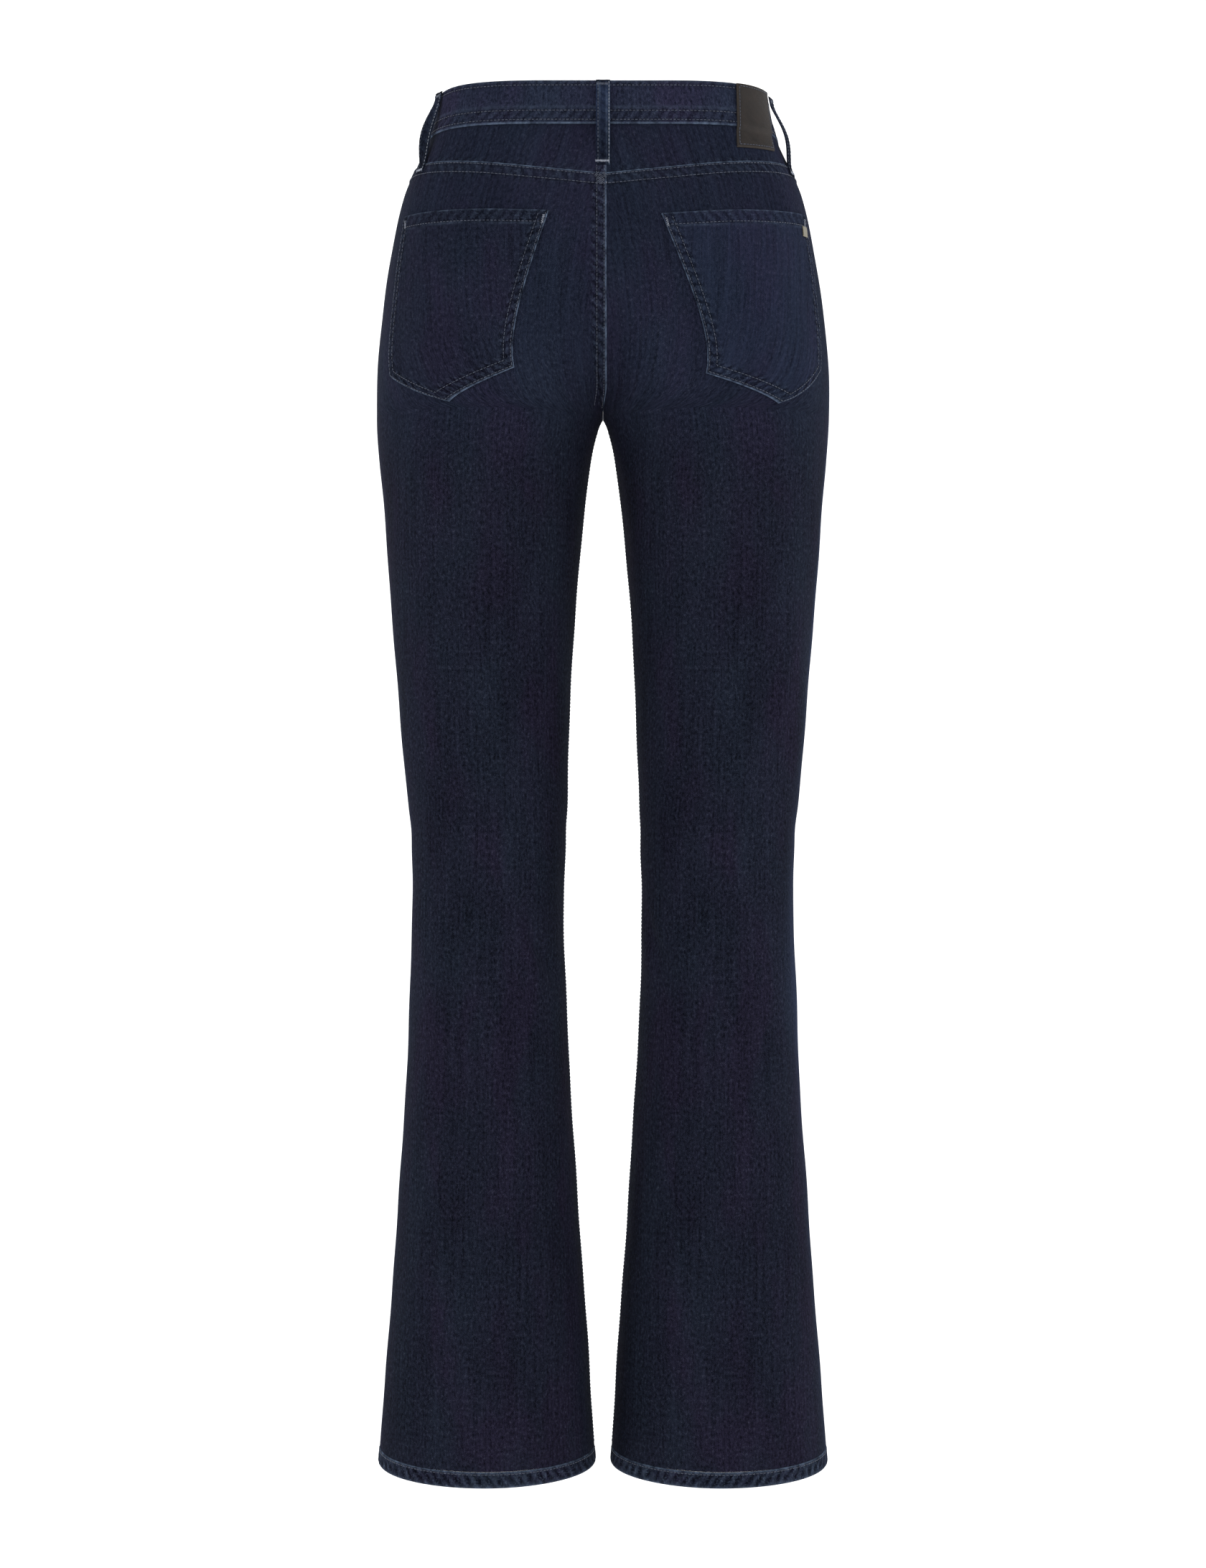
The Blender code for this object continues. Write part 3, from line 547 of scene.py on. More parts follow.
class Wire:  # a node's output, and the sums that further nodes do with it
    def __init__(self, socket):
        self.socket, self.tree = socket, socket.id_data

    def __add__(self, other):
        return addNode(self.tree, "ShaderNodeMath", {0: self, 1: other}, operation="ADD")

    def __mul__(self, other):
        return addNode(self.tree, "ShaderNodeMath", {0: self, 1: other}, operation="MULTIPLY")

    def clipped(self):
        self.socket.node.use_clamp = True
        return self

    def ranged(self, low, high, newLow=0.0, newHigh=1.0):
        settings = {"Value": self, "From Min": low, "From Max": high, "To Min": newLow, "To Max": newHigh}
        return addNode(self.tree, "ShaderNodeMapRange", settings)

    def noise(self, scale, detail=2.0, rough=0.5, at=(0, 0, 0)):
        placed = addNode(self.tree, "ShaderNodeMapping", {"Vector": self, "Scale": scale, "Location": at})
        settings = {"Vector": placed, "Scale": 1.0, "Detail": detail, "Roughness": rough}
        return addNode(self.tree, "ShaderNodeTexNoise", settings)

    def bands(self, scale, lean, distortion, detail, **more):
        turned = {"Vector": self, "Scale": scale, "Rotation": (0, 0, lean)}
        placed = addNode(self.tree, "ShaderNodeMapping", turned)
        settings = {"Vector": placed, "Scale": 1.0, "Distortion": distortion, "Detail": detail}
        if "detailScale" in more:
            settings["Detail Scale"] = more.pop("detailScale")
        return addNode(self.tree, "ShaderNodeTexWave", settings, output=1, **more)

    def bump(self, strength, distance, **more):
        settings = {"Height": self, "Strength": strength, "Distance": distance, **more}
        return addNode(self.tree, "ShaderNodeBump", settings)


def mixed(factor, first, second, blend="MIX", tree=None):
    made = (tree or factor.tree).nodes.new("ShaderNodeMix")
    made.data_type, made.blend_type = "RGBA", blend
    first, second = (value if isinstance(value, Wire) else (*value, 1) for value in (first, second))
    setInputs(made, {0: factor, 6: first, 7: second})
    return Wire(made.outputs[2])


def newLook(name, roughness, metallic=0.0, specular=0.5, **inputs):
    material = bpy.data.materials.new(name)
    material.use_nodes = True
    tree = material.node_tree
    shader = tree.nodes["Principled BSDF"]
    settings = {"Roughness": roughness, "Metallic": metallic, "Specular IOR Level": specular}
    setInputs(shader, {**settings, **inputs})
    return material, tree, shader


def wearAndPaintedLightOf(tree):  # wear, painted sheen with fade, painted shade and pucker, as painted on the mesh
    wearAndPaintedLight = tree.nodes.new("ShaderNodeAttribute")
    wearAndPaintedLight.attribute_name = "wearAndPaintedLight"
    split = addNode(tree, "ShaderNodeSeparateColor", {"Color": Wire(wearAndPaintedLight.outputs["Color"])}).socket.node
    return *[Wire(socket) for socket in split.outputs], Wire(wearAndPaintedLight.outputs["Alpha"])


denimLook = {
    "dark": (0.0009, 0.0011, 0.003),
    "light": (0.0134, 0.0155, 0.0292),
    "red": (1.18, 0.9, 1.03),
    "green": (0.92, 1.05, 0.99),
    "haze": (0.025, 0.038, 0.08),
    "pale": (0.15, 0.205, 0.3),
    "fleck": (0.066, 0.072, 0.098),
    "shadow": 0.3,  # how much of the dark tone is left in pits and under stitches
    "worn": 1.0,
    "twill": (0.314159 / 0.00085, 0.314159 / 0.00085, 1),  # 0.85 mm from line to line
    "twillLean": math.radians(27),
    "shader": {
        "IOR": 1.18, "Sheen Weight": 0.012, "Sheen Roughness": 0.45, "Sheen Tint": (0.55, 0.68, 1.0, 1),
    },
}


def denimMaterial(name, brighter=1.0):
    look = denimLook
    material, tree, shader = newLook(name, 0.82, specular=0.07, **look["shader"])
    weave = addNode(tree, "ShaderNodeUVMap", uv_map="weave")
    beside = addNode(tree, "ShaderNodeUVMap", uv_map="beside")
    wear, haze, shade, pucker = wearAndPaintedLightOf(tree)

    streak = weave.noise((430, 11, 1), 3.0, 0.62)
    slub = weave.noise((1100, 190, 1), 2.0, 0.6, (3, 1, 0))
    cloud = weave.noise((22, 8, 1), 3.0, 0.6, (7, 2, 0))
    tint = weave.noise((19, 7, 1), 3.0, 0.55, (1, 5, 0))
    grain = weave.noise((1900, 1900, 1), 2.0, 0.6, (2, 9, 0))
    speck = weave.noise((430, 300, 1), 4.0, 0.82, (6, 3, 0))
    twill = weave.bands(look["twill"], look["twillLean"], 1.6, 1.0, detailScale=1.2)

    tone = (streak * 0.22 + slub * 0.25 + cloud * 0.18 + speck * 0.7).ranged(0.545, 0.8)
    colour = mixed(tone, [c * brighter for c in look["dark"]], [c * brighter for c in look["light"]])
    reddish = mixed(1.0, colour, look["red"], "MULTIPLY", tree)
    greenish = mixed(1.0, colour, look["green"], "MULTIPLY", tree)
    colour = mixed(tint.ranged(0.5, 0.62), colour, reddish)
    colour = mixed(tint.ranged(0.48, 0.38), colour, greenish)
    weaveMark = twill.ranged(0.45, 1.0) * grain.ranged(0.4, 0.7)
    fleck = speck.ranged(0.57, 0.7) * cloud.ranged(0.35, 0.62, 0.3, 1.0)
    colour = mixed((weaveMark * 0.22 + fleck * 0.34).clipped(), colour, look["fleck"])
    # painted blue sheen with some fade, strongest along the outer edges
    colour = mixed((haze * streak.ranged(0.3, 0.7, 0.45, 1.15)).clipped(), colour, look["haze"])

    # rubbed marks beside the seams, where the cloth puckers: dots between the stitches and short strokes,
    # with painted shade in the pits between them
    ripple = beside.bands((44, 46, 1), math.radians(-38), 3.0, 2.0, detailScale=1.4, bands_direction="Y")
    dots = beside.noise((620, 520, 1), 2.0, 0.7, (8, 1, 0))
    patchy = weave.noise((150, 110, 1), 3.0, 0.65, (5, 4, 0)).ranged(0.36, 0.64, 0.12, 1.0)
    threads = grain.ranged(0.25, 0.6, 0.55, 1.0)
    rubbed = ripple.ranged(0.62, 1.0) * 0.12 + dots.ranged(0.55, 0.68) * 0.3
    rubbed = rubbed * pucker * look["worn"]
    paleMark = wear * patchy.ranged(0.0, 1.0, 0.12, 0.92) * look["worn"]
    paleMark = ((paleMark + rubbed * patchy) * threads).clipped()
    valleys = (dots.ranged(0.48, 0.34) + ripple.ranged(0.42, 0.05, 0.0, 0.75)).clipped()
    shadow = [c * look["shadow"] for c in look["dark"]]
    colour = mixed((valleys * (pucker * 0.8)).clipped(), colour, shadow)
    colour = mixed(paleMark, colour, look["pale"])
    colour = mixed(shade, colour, shadow)
    setInputs(shader, {"Base Color": colour, "Roughness": slub.ranged(0.3, 0.7, 0.92, 0.78)})
    fine = (twill * 0.55 + grain * 0.45 + speck * 1.2).bump(0.6, 0.0003)
    setInputs(shader, {"Normal": ((ripple * 0.5 + dots) * pucker).bump(0.7, 0.0006, Normal=fine)})
    return material


def reverseMaterial():  # the cloth's inner face shows its pale weft
    material, tree, shader = newLook("denimReverse", 0.9, specular=0.2)
    weave = addNode(tree, "ShaderNodeUVMap", uv_map="weave")
    twill = weave.bands(denimLook["twill"], -denimLook["twillLean"], 1.2, 1.0)
    grain = weave.noise((900, 900, 1), 3.0, 0.6)
    streak = weave.noise((260, 20, 1), 2.0, 0.6)
    mark = twill * 0.5 + grain * 0.5
    colour = mixed(mark, (0.04, 0.055, 0.1), (0.18, 0.205, 0.265))
    colour = mixed(streak.ranged(0.4, 0.7, 0.0, 0.3), colour, (0.055, 0.075, 0.13))
    setInputs(shader, {"Base Color": colour, "Normal": mark.bump(0.5, 0.00025)})
    return material


def threadMaterial(name, dark, light):
    material, tree, shader = newLook(name, 0.65, specular=0.2, **{"Sheen Weight": 0.2})
    spot = addNode(tree, "ShaderNodeTexCoord", output="Object")
    twist = spot.noise((2600, 2600, 2600), 2.0, 0.5)
    fade = spot.noise((420, 420, 300), 2.0, 0.6, (4, 4, 4))
    colour = mixed((twist + fade.ranged(0.35, 0.65)) * 0.5, dark, light)
    setInputs(shader, {"Base Color": colour, "Normal": twist.bump(0.5, 0.0001)})
    return material


def leatherMaterial():
    material, tree, shader = newLook("patchLeather", 0.62, specular=0.16)
    spot = addNode(tree, "ShaderNodeTexCoord", output="Object")
    wear, _, shade, _ = wearAndPaintedLightOf(tree)
    cells = {"Vector": spot, "Scale": 1500.0}
    pores = addNode(tree, "ShaderNodeTexVoronoi", cells, feature="DISTANCE_TO_EDGE")
    cloud = spot.noise((130, 130, 130), 4.0, 0.6)
    colour = mixed(cloud.ranged(0.3, 0.7), (0.0115, 0.0094, 0.0086), (0.025, 0.02, 0.0178))
    colour = mixed(wear * 0.35, colour, (0.06, 0.05, 0.042))
    colour = mixed(shade, colour, (0.008, 0.0065, 0.006))
    setInputs(shader, {"Base Color": colour, "Roughness": cloud.ranged(0.3, 0.7, 0.52, 0.7)})
    setInputs(shader, {"Normal": (pores.ranged(0.0, 0.12) + cloud * 0.7).bump(0.4, 0.00015)})
    return material


def metalMaterial(name, dark, light, roughness, stretch=(60, 1600, 1600)):
    material, tree, shader = newLook(name, roughness, 1.0)
    brushed = addNode(tree, "ShaderNodeTexCoord", output="Object").noise(stretch, 3.0, 0.6)
    setInputs(shader, {"Base Color": mixed(brushed.ranged(0.3, 0.7), dark, light)})
    setInputs(shader, {"Roughness": brushed.ranged(0.3, 0.7, roughness - 0.08, roughness + 0.1)})
    setInputs(shader, {"Normal": brushed.bump(0.25, 0.00006)})
    return material


denim = denimMaterial("denimBody")
denimPocket = denimMaterial("denimPocket", 1.06)
denimBand = denimMaterial("denimBand", 1.75)
denimHem = denimMaterial("denimHem", 1.05)
denimStrap = denimMaterial("denimStrap", 0.95)
reverse = reverseMaterial()
navyThread = threadMaterial("navyThread", (0.008, 0.011, 0.024), (0.095, 0.112, 0.16))
paleThread = threadMaterial("rubbedThread", (0.035, 0.045, 0.075), (0.38, 0.41, 0.48))
leather = leatherMaterial()
silver = metalMaterial("tabMetal", (0.11, 0.1, 0.07), (0.27, 0.25, 0.195), 0.42)
buttonMetal = metalMaterial("buttonMetal", (0.2, 0.19, 0.18), (0.36, 0.345, 0.33), 0.36, (900, 900, 900))
zipMetal = metalMaterial("zipMetal", (0.22, 0.21, 0.2), (0.4, 0.38, 0.36), 0.34)


print("leg panels and yokes")

panel = {
    "edgeSteps": np.array((0, 0.0004, 0.0012, 0.0025, 0.0042, 0.0062, 0.008, 0.0095, 0.0112, 0.014)),
    "lip": 0.0007,  # how proud a felled seam's folded edge stands
    "fellWidth": 0.0098,
    "centreLap": 0.0027,  # how far the left back laps over the right one
    "centreFell": 0.0088,
    "seamInset": 0.0012,
    "fadeAndSheenWidth": 0.016,
}


def lapEnd(z, side):  # the centre back edge of each half, as a turn, which laps to one side above the crotch
    fade = smoothStep(body["crotchZ"] + 0.001, -0.226, z)
    past = panel["centreLap"] if side > 0 else -(panel["centreLap"] + body["gap"])
    lap = past * fade - 0.00015 * (1 - fade)
    turn = turnAtX(np.abs(lap), np.maximum(z, body["crotchZ"] + 1e-4), True)
    return np.where(z <= body["crotchZ"], 4 - panel["seamInset"], np.where(lap > 0, 8 - turn, turn))


def outerFadeAndSheen(distance, z, side):  # painted sheen with rubbed fade makes the outer edges of the legs bluer, most of all on the right
    if side < 0:
        strength = 0.5 + 0.6 * bell(z + 0.36, 0.11) + 0.3 * bell(z + 0.7, 0.07)
        width = panel["fadeAndSheenWidth"] * (1 + 0.5 * bell(z + 0.72, 0.09))
    else:
        strength = 0.34 + 0.2 * bell(z + 0.3, 0.12)
        width = panel["fadeAndSheenWidth"] * 0.8
    return strength * bell(distance, width) * smoothStep(-0.05, -0.12, z)


def panelRows(topRef):  # heights of a leg panel's rows before its ends are bent to their seams
    steps, length = panel["edgeSteps"], topRef - hem["z"] - hem["height"] - panel["edgeSteps"][-1]
    evenly = np.linspace(0, length, int(length / body["rows"]))[1:]
    return topRef - np.concatenate([steps, steps[-1] + evenly])


def bentRows(zRows, top, bottom, reach):
    column, topRef, bottomRef = zRows[:, None], zRows[0], hem["z"] + hem["height"]
    z = column + (top - topRef) * smoothStep(topRef - reach, topRef - 0.0001, column)
    return z + (bottom - bottomRef) * (1 - smoothStep(bottomRef + 0.0001, bottomRef + 0.09, column))


def backPanel(side, word):
    zRows = panelRows(yoke["centreZ"])
    ends = (2 + panel["seamInset"], lapEnd(zRows, side))
    turns, outerGap, innerGap = rowTurns(zRows, *ends, panel["edgeSteps"], even(body["columns"]))
    top, bottom = yokeBottom(turns) - body["gap"] / 2, hemTop(np.minimum(turns, 4)) + body["gap"]
    z = bentRows(zRows, top, bottom, 0.09)
    drop = top - z
    seat = smoothStep(body["crotchZ"], -0.235, z)
    lapped = seat * (side > 0)
    off = edgeRound(drop) + ledge(drop, panel["fellWidth"], panel["lip"])
    fell = ledge(innerGap, panel["centreFell"], panel["lip"]) * lapped
    off = np.maximum(off, fell + edgeRound(innerGap) * (seat if side > 0 else 0.6))
    off += edgeRound(drop, 0.0004) * (off > 0.0004)
    off += groove(drop, seamRows["yoke"]) + groove(innerGap, seamRows["centre"]) * lapped
    off += edgeRound(outerGap, 0.0007, 0.0022) + 0.00035 * bell(outerGap - 0.008, 0.005)
    off += (edgeRound(innerGap, 0.0006, 0.0018) + 0.0003 * bell(innerGap - 0.006, 0.004)) * (1 - seat)
    wear = 0.8 * bell(drop, 0.0008) + 0.02 * ledge(drop, panel["fellWidth"])
    wear += lapped * (0.85 * bell(innerGap, 0.0009) + 0.02 * ledge(innerGap, panel["centreFell"]))
    wear += 0.3 * bell(outerGap, 0.0016) + 0.12 * bell(innerGap, 0.0014) * (1 - seat)
    stripe = 0.28 * bell(innerGap - 0.028, 0.011) * smoothStep(-0.8, -0.9, z)
    haze = outerFadeAndSheen(outerGap, z, side) + 0.13 * smoothStep(-0.32, -0.2, z) + 0.25 * stripe * (side > 0)
    shade = 0.16 * bell(innerGap, 0.045) * smoothStep(-0.62, -0.3, z) * smoothStep(-0.2, -0.26, z)
    shade += stripe * (side < 0) + stitchShade(drop, seamRows["yoke"])
    shade += stitchShade(innerGap, seamRows["centre"]) * lapped
    rubbedSeat = 0.75 * lapped * smoothStep(-0.275, -0.24, z)
    rubbedSeat *= ledge(innerGap, panel["centreFell"] + 0.003)
    pucker = np.maximum(0.5 * ledge(drop, panel["fellWidth"] + 0.002), rubbedSeat)
    nearTop = drop < innerGap
    piece = clothPiece(
        "backPanel" + word, "back_panel_" + word.lower(), side, (turns, z), off, -body["cloth"],
        uv=((outerGap - innerGap) / 2 * side, z),
        beside=(np.where(nearTop, drop, innerGap), np.where(nearTop, outerGap * side, z)),
        wearAndPaintedLight=(wear, haze, np.minimum(shade, 0.8), pucker),
        look=("denim", denim, reverse),
    )
    "yoke_" + word.lower()


def yokePiece(side, word):
    zRows = np.linspace(-0.018, -0.056, 16)
    ends = (2 + panel["seamInset"], lapEnd(zRows, side))
    turns, outerGap, innerGap = rowTurns(zRows, *ends, panel["edgeSteps"], even(34))
    top, bottom = bandBottom(turns) - body["gap"], yokeBottom(turns) + body["gap"] / 2
    z = top + (bottom - top) * np.linspace(0, 1, len(zRows))[:, None]
    left, low = side > 0, z - bottom
    off = edgeRound(outerGap, 0.0007, 0.0022) + edgeRound(low, 0.0003)
    off += left * (ledge(innerGap, panel["centreFell"], panel["lip"] * 0.8) + edgeRound(innerGap))
    wear = 0.25 * bell(outerGap, 0.0016) + 0.7 * left * bell(innerGap, 0.0011)
    pucker = 0.5 * ledge(low, 0.003) + 0.4 * left * ledge(innerGap, panel["centreFell"])
    piece = clothPiece(
        "yoke" + word, "yoke_" + word.lower(), side, (turns, z), off, -body["cloth"],
        uv=((outerGap - innerGap) / 2 * side, z),
        beside=(low, outerGap * side),
        wearAndPaintedLight=(wear, outerFadeAndSheen(outerGap, z, side) + 0.14, 0.25 * bell(top - z, 0.002), pucker),
        look=("denim", denim, reverse),
    )


frontShape = {
    "scoopCorner": (0.158, -0.018),
    "scoopWidth": 0.082,
    "scoopDrop": 0.062,
    "topRef": -0.031,
    "mouthShares": (0.295, 0.385),  # columns lie closer together here, where the mouth's edge comes down
    "mouthRows": 34,
    "flyBottom": -0.152,
    "flyWidth": 0.036,
    "flyCorner": 0.045,
    "facingMargin": 0.016,
    "facingTuck": 0.005,  # runs up behind the waistband
}


def scoopZ(x, grow=0.0):
    cornerX, cornerZ = frontShape["scoopCorner"]
    width, drop = frontShape["scoopWidth"] + grow, frontShape["scoopDrop"] + grow
    u = np.clip((cornerX - x) / width, 0, 1)
    return np.where(x <= cornerX - width, 1.0, cornerZ - drop * np.sqrt(1 - u * u))


def frontTop(turns, grow=0.0):
    z = bandBottom(turns) - body["gap"]
    edge = z
    for _ in range(4):
        edge = np.minimum(z, scoopZ(outline(turns, edge)[0], grow))
    return edge


def flyCurve(offset):  # the fly's curved row of stitches, as x and z, from the waist seam to the centre
    width, corner = frontShape["flyWidth"] - offset, frontShape["flyCorner"]
    bottom = frontShape["flyBottom"] + offset + corner
    angle = np.linspace(0, math.pi / 2, 24)[1:]
    x = np.concatenate([np.full(30, width), width * np.cos(angle)])
    return x, np.concatenate([np.linspace(-0.032, bottom, 30), bottom - corner * np.sin(angle)])


def frontPanel(side, word):
    zRows = panelRows(frontShape["topRef"])
    low, high = frontShape["mouthShares"]
    shares = [np.linspace(0, low, 14)[1:], np.linspace(low, high, 18)[1:], np.linspace(high, 1, 22)[1:-1]]
    ends = (panel["seamInset"], 2 - panel["seamInset"])
    turns, innerGap, outerGap = rowTurns(zRows, *ends, panel["edgeSteps"], np.concatenate(shares))
    z = bentRows(zRows, frontTop(turns), hemTop(turns) + body["gap"], 0.16)
    point, close = onCloth(turns, z, 0, side), frontShape["mouthRows"]
    fromCentre, drop = np.abs(point[..., 0]), np.full(z.shape, 0.05)
    drop[:close] = distanceTo(point[:close], point[0])[0]
    scooped = smoothStep(0.07, 0.076, fromCentre) * (z > -0.12)
    seat = smoothStep(body["crotchZ"], -0.235, z)
    leg = 1 - seat
    mouth = ledge(drop, 0.009, 0.0005) + groove(drop, seamRows["mouth"])
    off = edgeRound(drop) * (0.4 + 0.6 * scooped) + scooped * mouth
    flyX, flyZ = flyCurve(-0.0015)
    inFly = smoothStep(-0.0016, 0.0016, np.interp(-z, -flyZ, flyX, right=0.0) - fromCentre) * seat
    off += (side > 0) * (0.0006 * inFly + edgeRound(innerGap, 0.0004) * seat)
    off += edgeRound(outerGap, 0.0007, 0.0022) + 0.00035 * bell(outerGap - 0.008, 0.005)
    inseam = edgeRound(innerGap, 0.0006, 0.0014) + groove(innerGap, seamRows["inseam"])
    off += leg * (ledge(innerGap, 0.0085, 0.0005) + inseam)
    wear = scooped * 0.8 * bell(drop, 0.0012) + 0.25 * bell(outerGap, 0.0016)
    wear += 0.35 * bell(innerGap, 0.0012) * (1 if side > 0 else leg)
    thigh = 0.1 * bell(turns - 1, 0.35) * smoothStep(-0.2, -0.34, z) * smoothStep(-0.66, -0.48, z)
    shade = 0.4 * bell(innerGap, 0.04) * smoothStep(-0.62, -0.3, z) * smoothStep(-0.2, -0.26, z)
    nearTop = drop < innerGap
    piece = clothPiece(
        "frontPanel" + word, "front_panel_" + word.lower(), side, (turns, z), off, -body["cloth"],
        uv=((innerGap - outerGap) / 2 * side, z),
        beside=(np.where(nearTop, drop, innerGap), np.where(nearTop, innerGap * side, z)),
        wearAndPaintedLight=(wear, outerFadeAndSheen(outerGap, z, side) + thigh, shade,
                np.maximum(0.6 * scooped * ledge(drop, 0.01), 0.5 * leg * ledge(innerGap, 0.01))),
        look=("denim", denim, reverse),
    )


def pocketFacing(side, word):
    zRows = np.linspace(-0.031, -0.095, 22)
    turns, innerGap, _ = rowTurns(zRows, 0.7, 2 - panel["seamInset"], np.array((0, 0.001)), even(38))
    top = bandBottom(turns) + frontShape["facingTuck"]
    bottom = np.minimum(frontTop(turns, frontShape["facingMargin"]), top - 0.004 - frontShape["facingTuck"])
    z = top + (bottom - top) * np.linspace(0, 1, len(zRows))[:, None]
    off = -body["cloth"] - body["gap"] - 0.0004
    piece = clothPiece(
        "pocketFacing" + word, "pocket_facing_" + word.lower(), side, (turns, z), off, off - body["cloth"],
        uv=(innerGap * side, z), beside=(innerGap, z), wearAndPaintedLight=(0, 0.06, 0.18, 0),
        look=("denim", denim, reverse),
    )


for word, side in (("Left", 1), ("Right", -1)):
    for makePiece in (backPanel, yokePiece, frontPanel, pocketFacing):
        makePiece(side, word)


print("waistband and hems")


def makeWaistband():
    tailX = np.array([  # the underlap's end
        -20, -17, -14, -11, -8, -5, -2, 2, 8, 16, 24, 30, 35.2, 35.8, 36,
    ]) / 1000
    tailTurns = np.sign(tailX) * turnAtX(np.abs(tailX), 0, False) + 8
    runTurns = np.unique(np.concatenate([np.linspace(0.0, 0.02, 4), np.linspace(0.02, 7.76, 260)]))
    turns = np.concatenate([runTurns, tailTurns])
    sink = np.concatenate([np.zeros(len(runTurns)), smoothStep(-0.02, 0.0, tailX)])
    drops = np.array([
        0, 0.4, 1.2, 2.5, 3.5, 4.2, 5, 6.5, 10, 14, 18, 20.5, 22, 23.2, 24.6,
        25.5, 26.4, 28.5, 31, 32.5, 33.3, 34.1, 35, 35.8, 36.2, 36.5,
    ]) / 1000
    grid, drop = np.broadcast_arrays(turns[None], drops[:, None])
    z, rise = bandTop(grid) - drop, waistband["height"] - drop
    walked = walkOf(skin(turns, 0)[:, :2])
    along, ridge, depth = walked + 0 * z, waistband["ridgeAt"], waistband["thick"] + body["gap"]
    off = waistband["proud"] + 0.0004 * smoothStep(ridge - 0.0012, ridge + 0.001, drop)
    off += edgeRound(drop, 0.0009, 0.0016) + edgeRound(rise, 0.0007, 0.0014)
    off += groove(drop, waistband["stitchRows"], 0.00025, 0.001)
    off += 0.00018 * np.sin(along / 0.0072 * 2 * np.pi + drop * 500) * bell(drop - 0.0295, 0.005)
    off += 0.00012 * np.sin(along / 0.0064 * 2 * np.pi + 1.3 - drop * 600) * bell(drop - 0.002, 0.002)
    off += 0.0003 * np.sin(along * 31) * np.sin(along * 13 + 0.7) - (depth + 0.0004) * sink
    off += edgeRound(walked, 0.0007) + edgeRound(walked[-1] - walked, 0.0007)
    innerOff = waistband["proud"] - waistband["thick"] - depth * sink
    innerOff = innerOff - edgeRound(drop, 0.0007) - edgeRound(rise, 0.0007)
    wear = 0.34 * bell(drop, 0.0012) + 0.62 * bell(rise, 0.001) + 0.14 * bell(drop - ridge, 0.0012)
    pucker = 0.55 * smoothStep(0.022, 0.025, drop) + 0.45 * (1 - smoothStep(0.003, 0.006, drop))
    piece = clothPiece(
        "waistband", "waistband", 1, (grid, z), off, innerOff,
        uv=(along, z), beside=(rise, along),
        wearAndPaintedLight=(wear, 0.1, stitchShade(drop, waistband["stitchRows"]), pucker),
        look=("denim_band", denimBand, denimBand),
    )
    rows = [
        stitchRow(turns, bandTop(turns) - at, off[np.argmin(np.abs(drops - at))] + 0.00008)
        for at in waistband["stitchRows"]
    ]
    stitchMesh("waistbandStitches", rows, navyThread)
    return piece


def makeHem(side, word):
    fineTurns = np.linspace(0, 4, 1200)
    walked = walkOf(skin(fineTurns, hem["z"])[:, :2])
    along = np.linspace(0, walked[-1], 217)
    turns = np.interp(along, walked, fineTurns)
    drops = np.array([0, 0.4, 1, 1.6, 2.2, 3.2, 5, 7, 9, 10.8, 12, 12.7, 13]) / 1000
    grid, drop = np.broadcast_arrays(turns[None], drops[:, None])
    run, rise = along + 0 * grid, hem["height"] - drop
    z = hemTop(np.minimum(grid, 3.9999)) - drop
    twist = run / hem["roping"] * 2 * np.pi + drop / hem["height"] * 3.0 + 0.5 * np.sin(run * 90)
    rope = np.sin(twist) * (0.6 + 0.4 * np.sin(run * 47 + side))
    off = hem["proud"] + 0.0002
    off = off + 0.00038 * rope * smoothStep(0.0005, 0.003, drop) * smoothStep(0.0002, 0.002, rise)
    off += edgeRound(drop, 0.0007, 0.0014) + edgeRound(rise, 0.001, 0.002)
    off += groove(drop, [hem["stitchRow"]], 0.00028, 0.0008)
    innerOff = hem["proud"] - hem["thick"] - edgeRound(drop, 0.0006) - edgeRound(rise, 0.0008, 0.0018)
    wear = 0.55 * bell(drop, 0.0011) + 0.3 * bell(rise, 0.0016) + 0.22 * np.clip(rope - 0.2, 0, 1)
    haze = outerFadeAndSheen(np.abs(grid - 2) * 0.12, z, side) + 0.1
    piece = clothPiece(
        "hem" + word, "hem_" + word.lower(), side, (grid, z), off, innerOff,
        uv=(run * side, z), beside=(drop, run), wearAndPaintedLight=(wear, haze, 0, 0.9),
        look=("denim_band", denimHem, denimHem), ring=True,
    )
    rowZ = hemTop(np.minimum(turns, 3.9999)) - hem["stitchRow"]
    return stitchRow(turns, rowZ, off[4] + 0.0001, side, "hem")


band = makeWaistband()
stitchMesh("hemStitches", [makeHem(1, "Left"), makeHem(-1, "Right")], navyThread)


print("back pockets")

pockets = {
    "left": {  # corners as x and z
        "innerTop": (0.0436, -0.0892), "outerTop": (0.1613, -0.086), "outerBottom": (0.1718, -0.2181),
        "tip": (0.1228, -0.2428), "innerBottom": (0.0709, -0.2164), "innerMiddle": (0.0612, -0.145),
    },
    "right": {
        "innerTop": (0.047, -0.092), "outerTop": (0.1644, -0.0831), "outerBottom": (0.1766, -0.2116),
        "tip": (0.1408, -0.2433), "innerBottom": (0.0824, -0.221), "innerMiddle": (0.069, -0.149),
    },
    "edgeSteps": np.array([0, 0.4, 1, 1.7, 2.6, 4.5, 6.2, 7.2, 8.2, 9.5, 11.2, 12.8]) / 1000,
    "hemWidth": 0.0112,
    "hemRow": 0.0098,
    "rows": (0.0017, 0.0072),  # stitch rows in from the edge
    "proud": 0.0016,
    "perimeter": 0.0088,
}


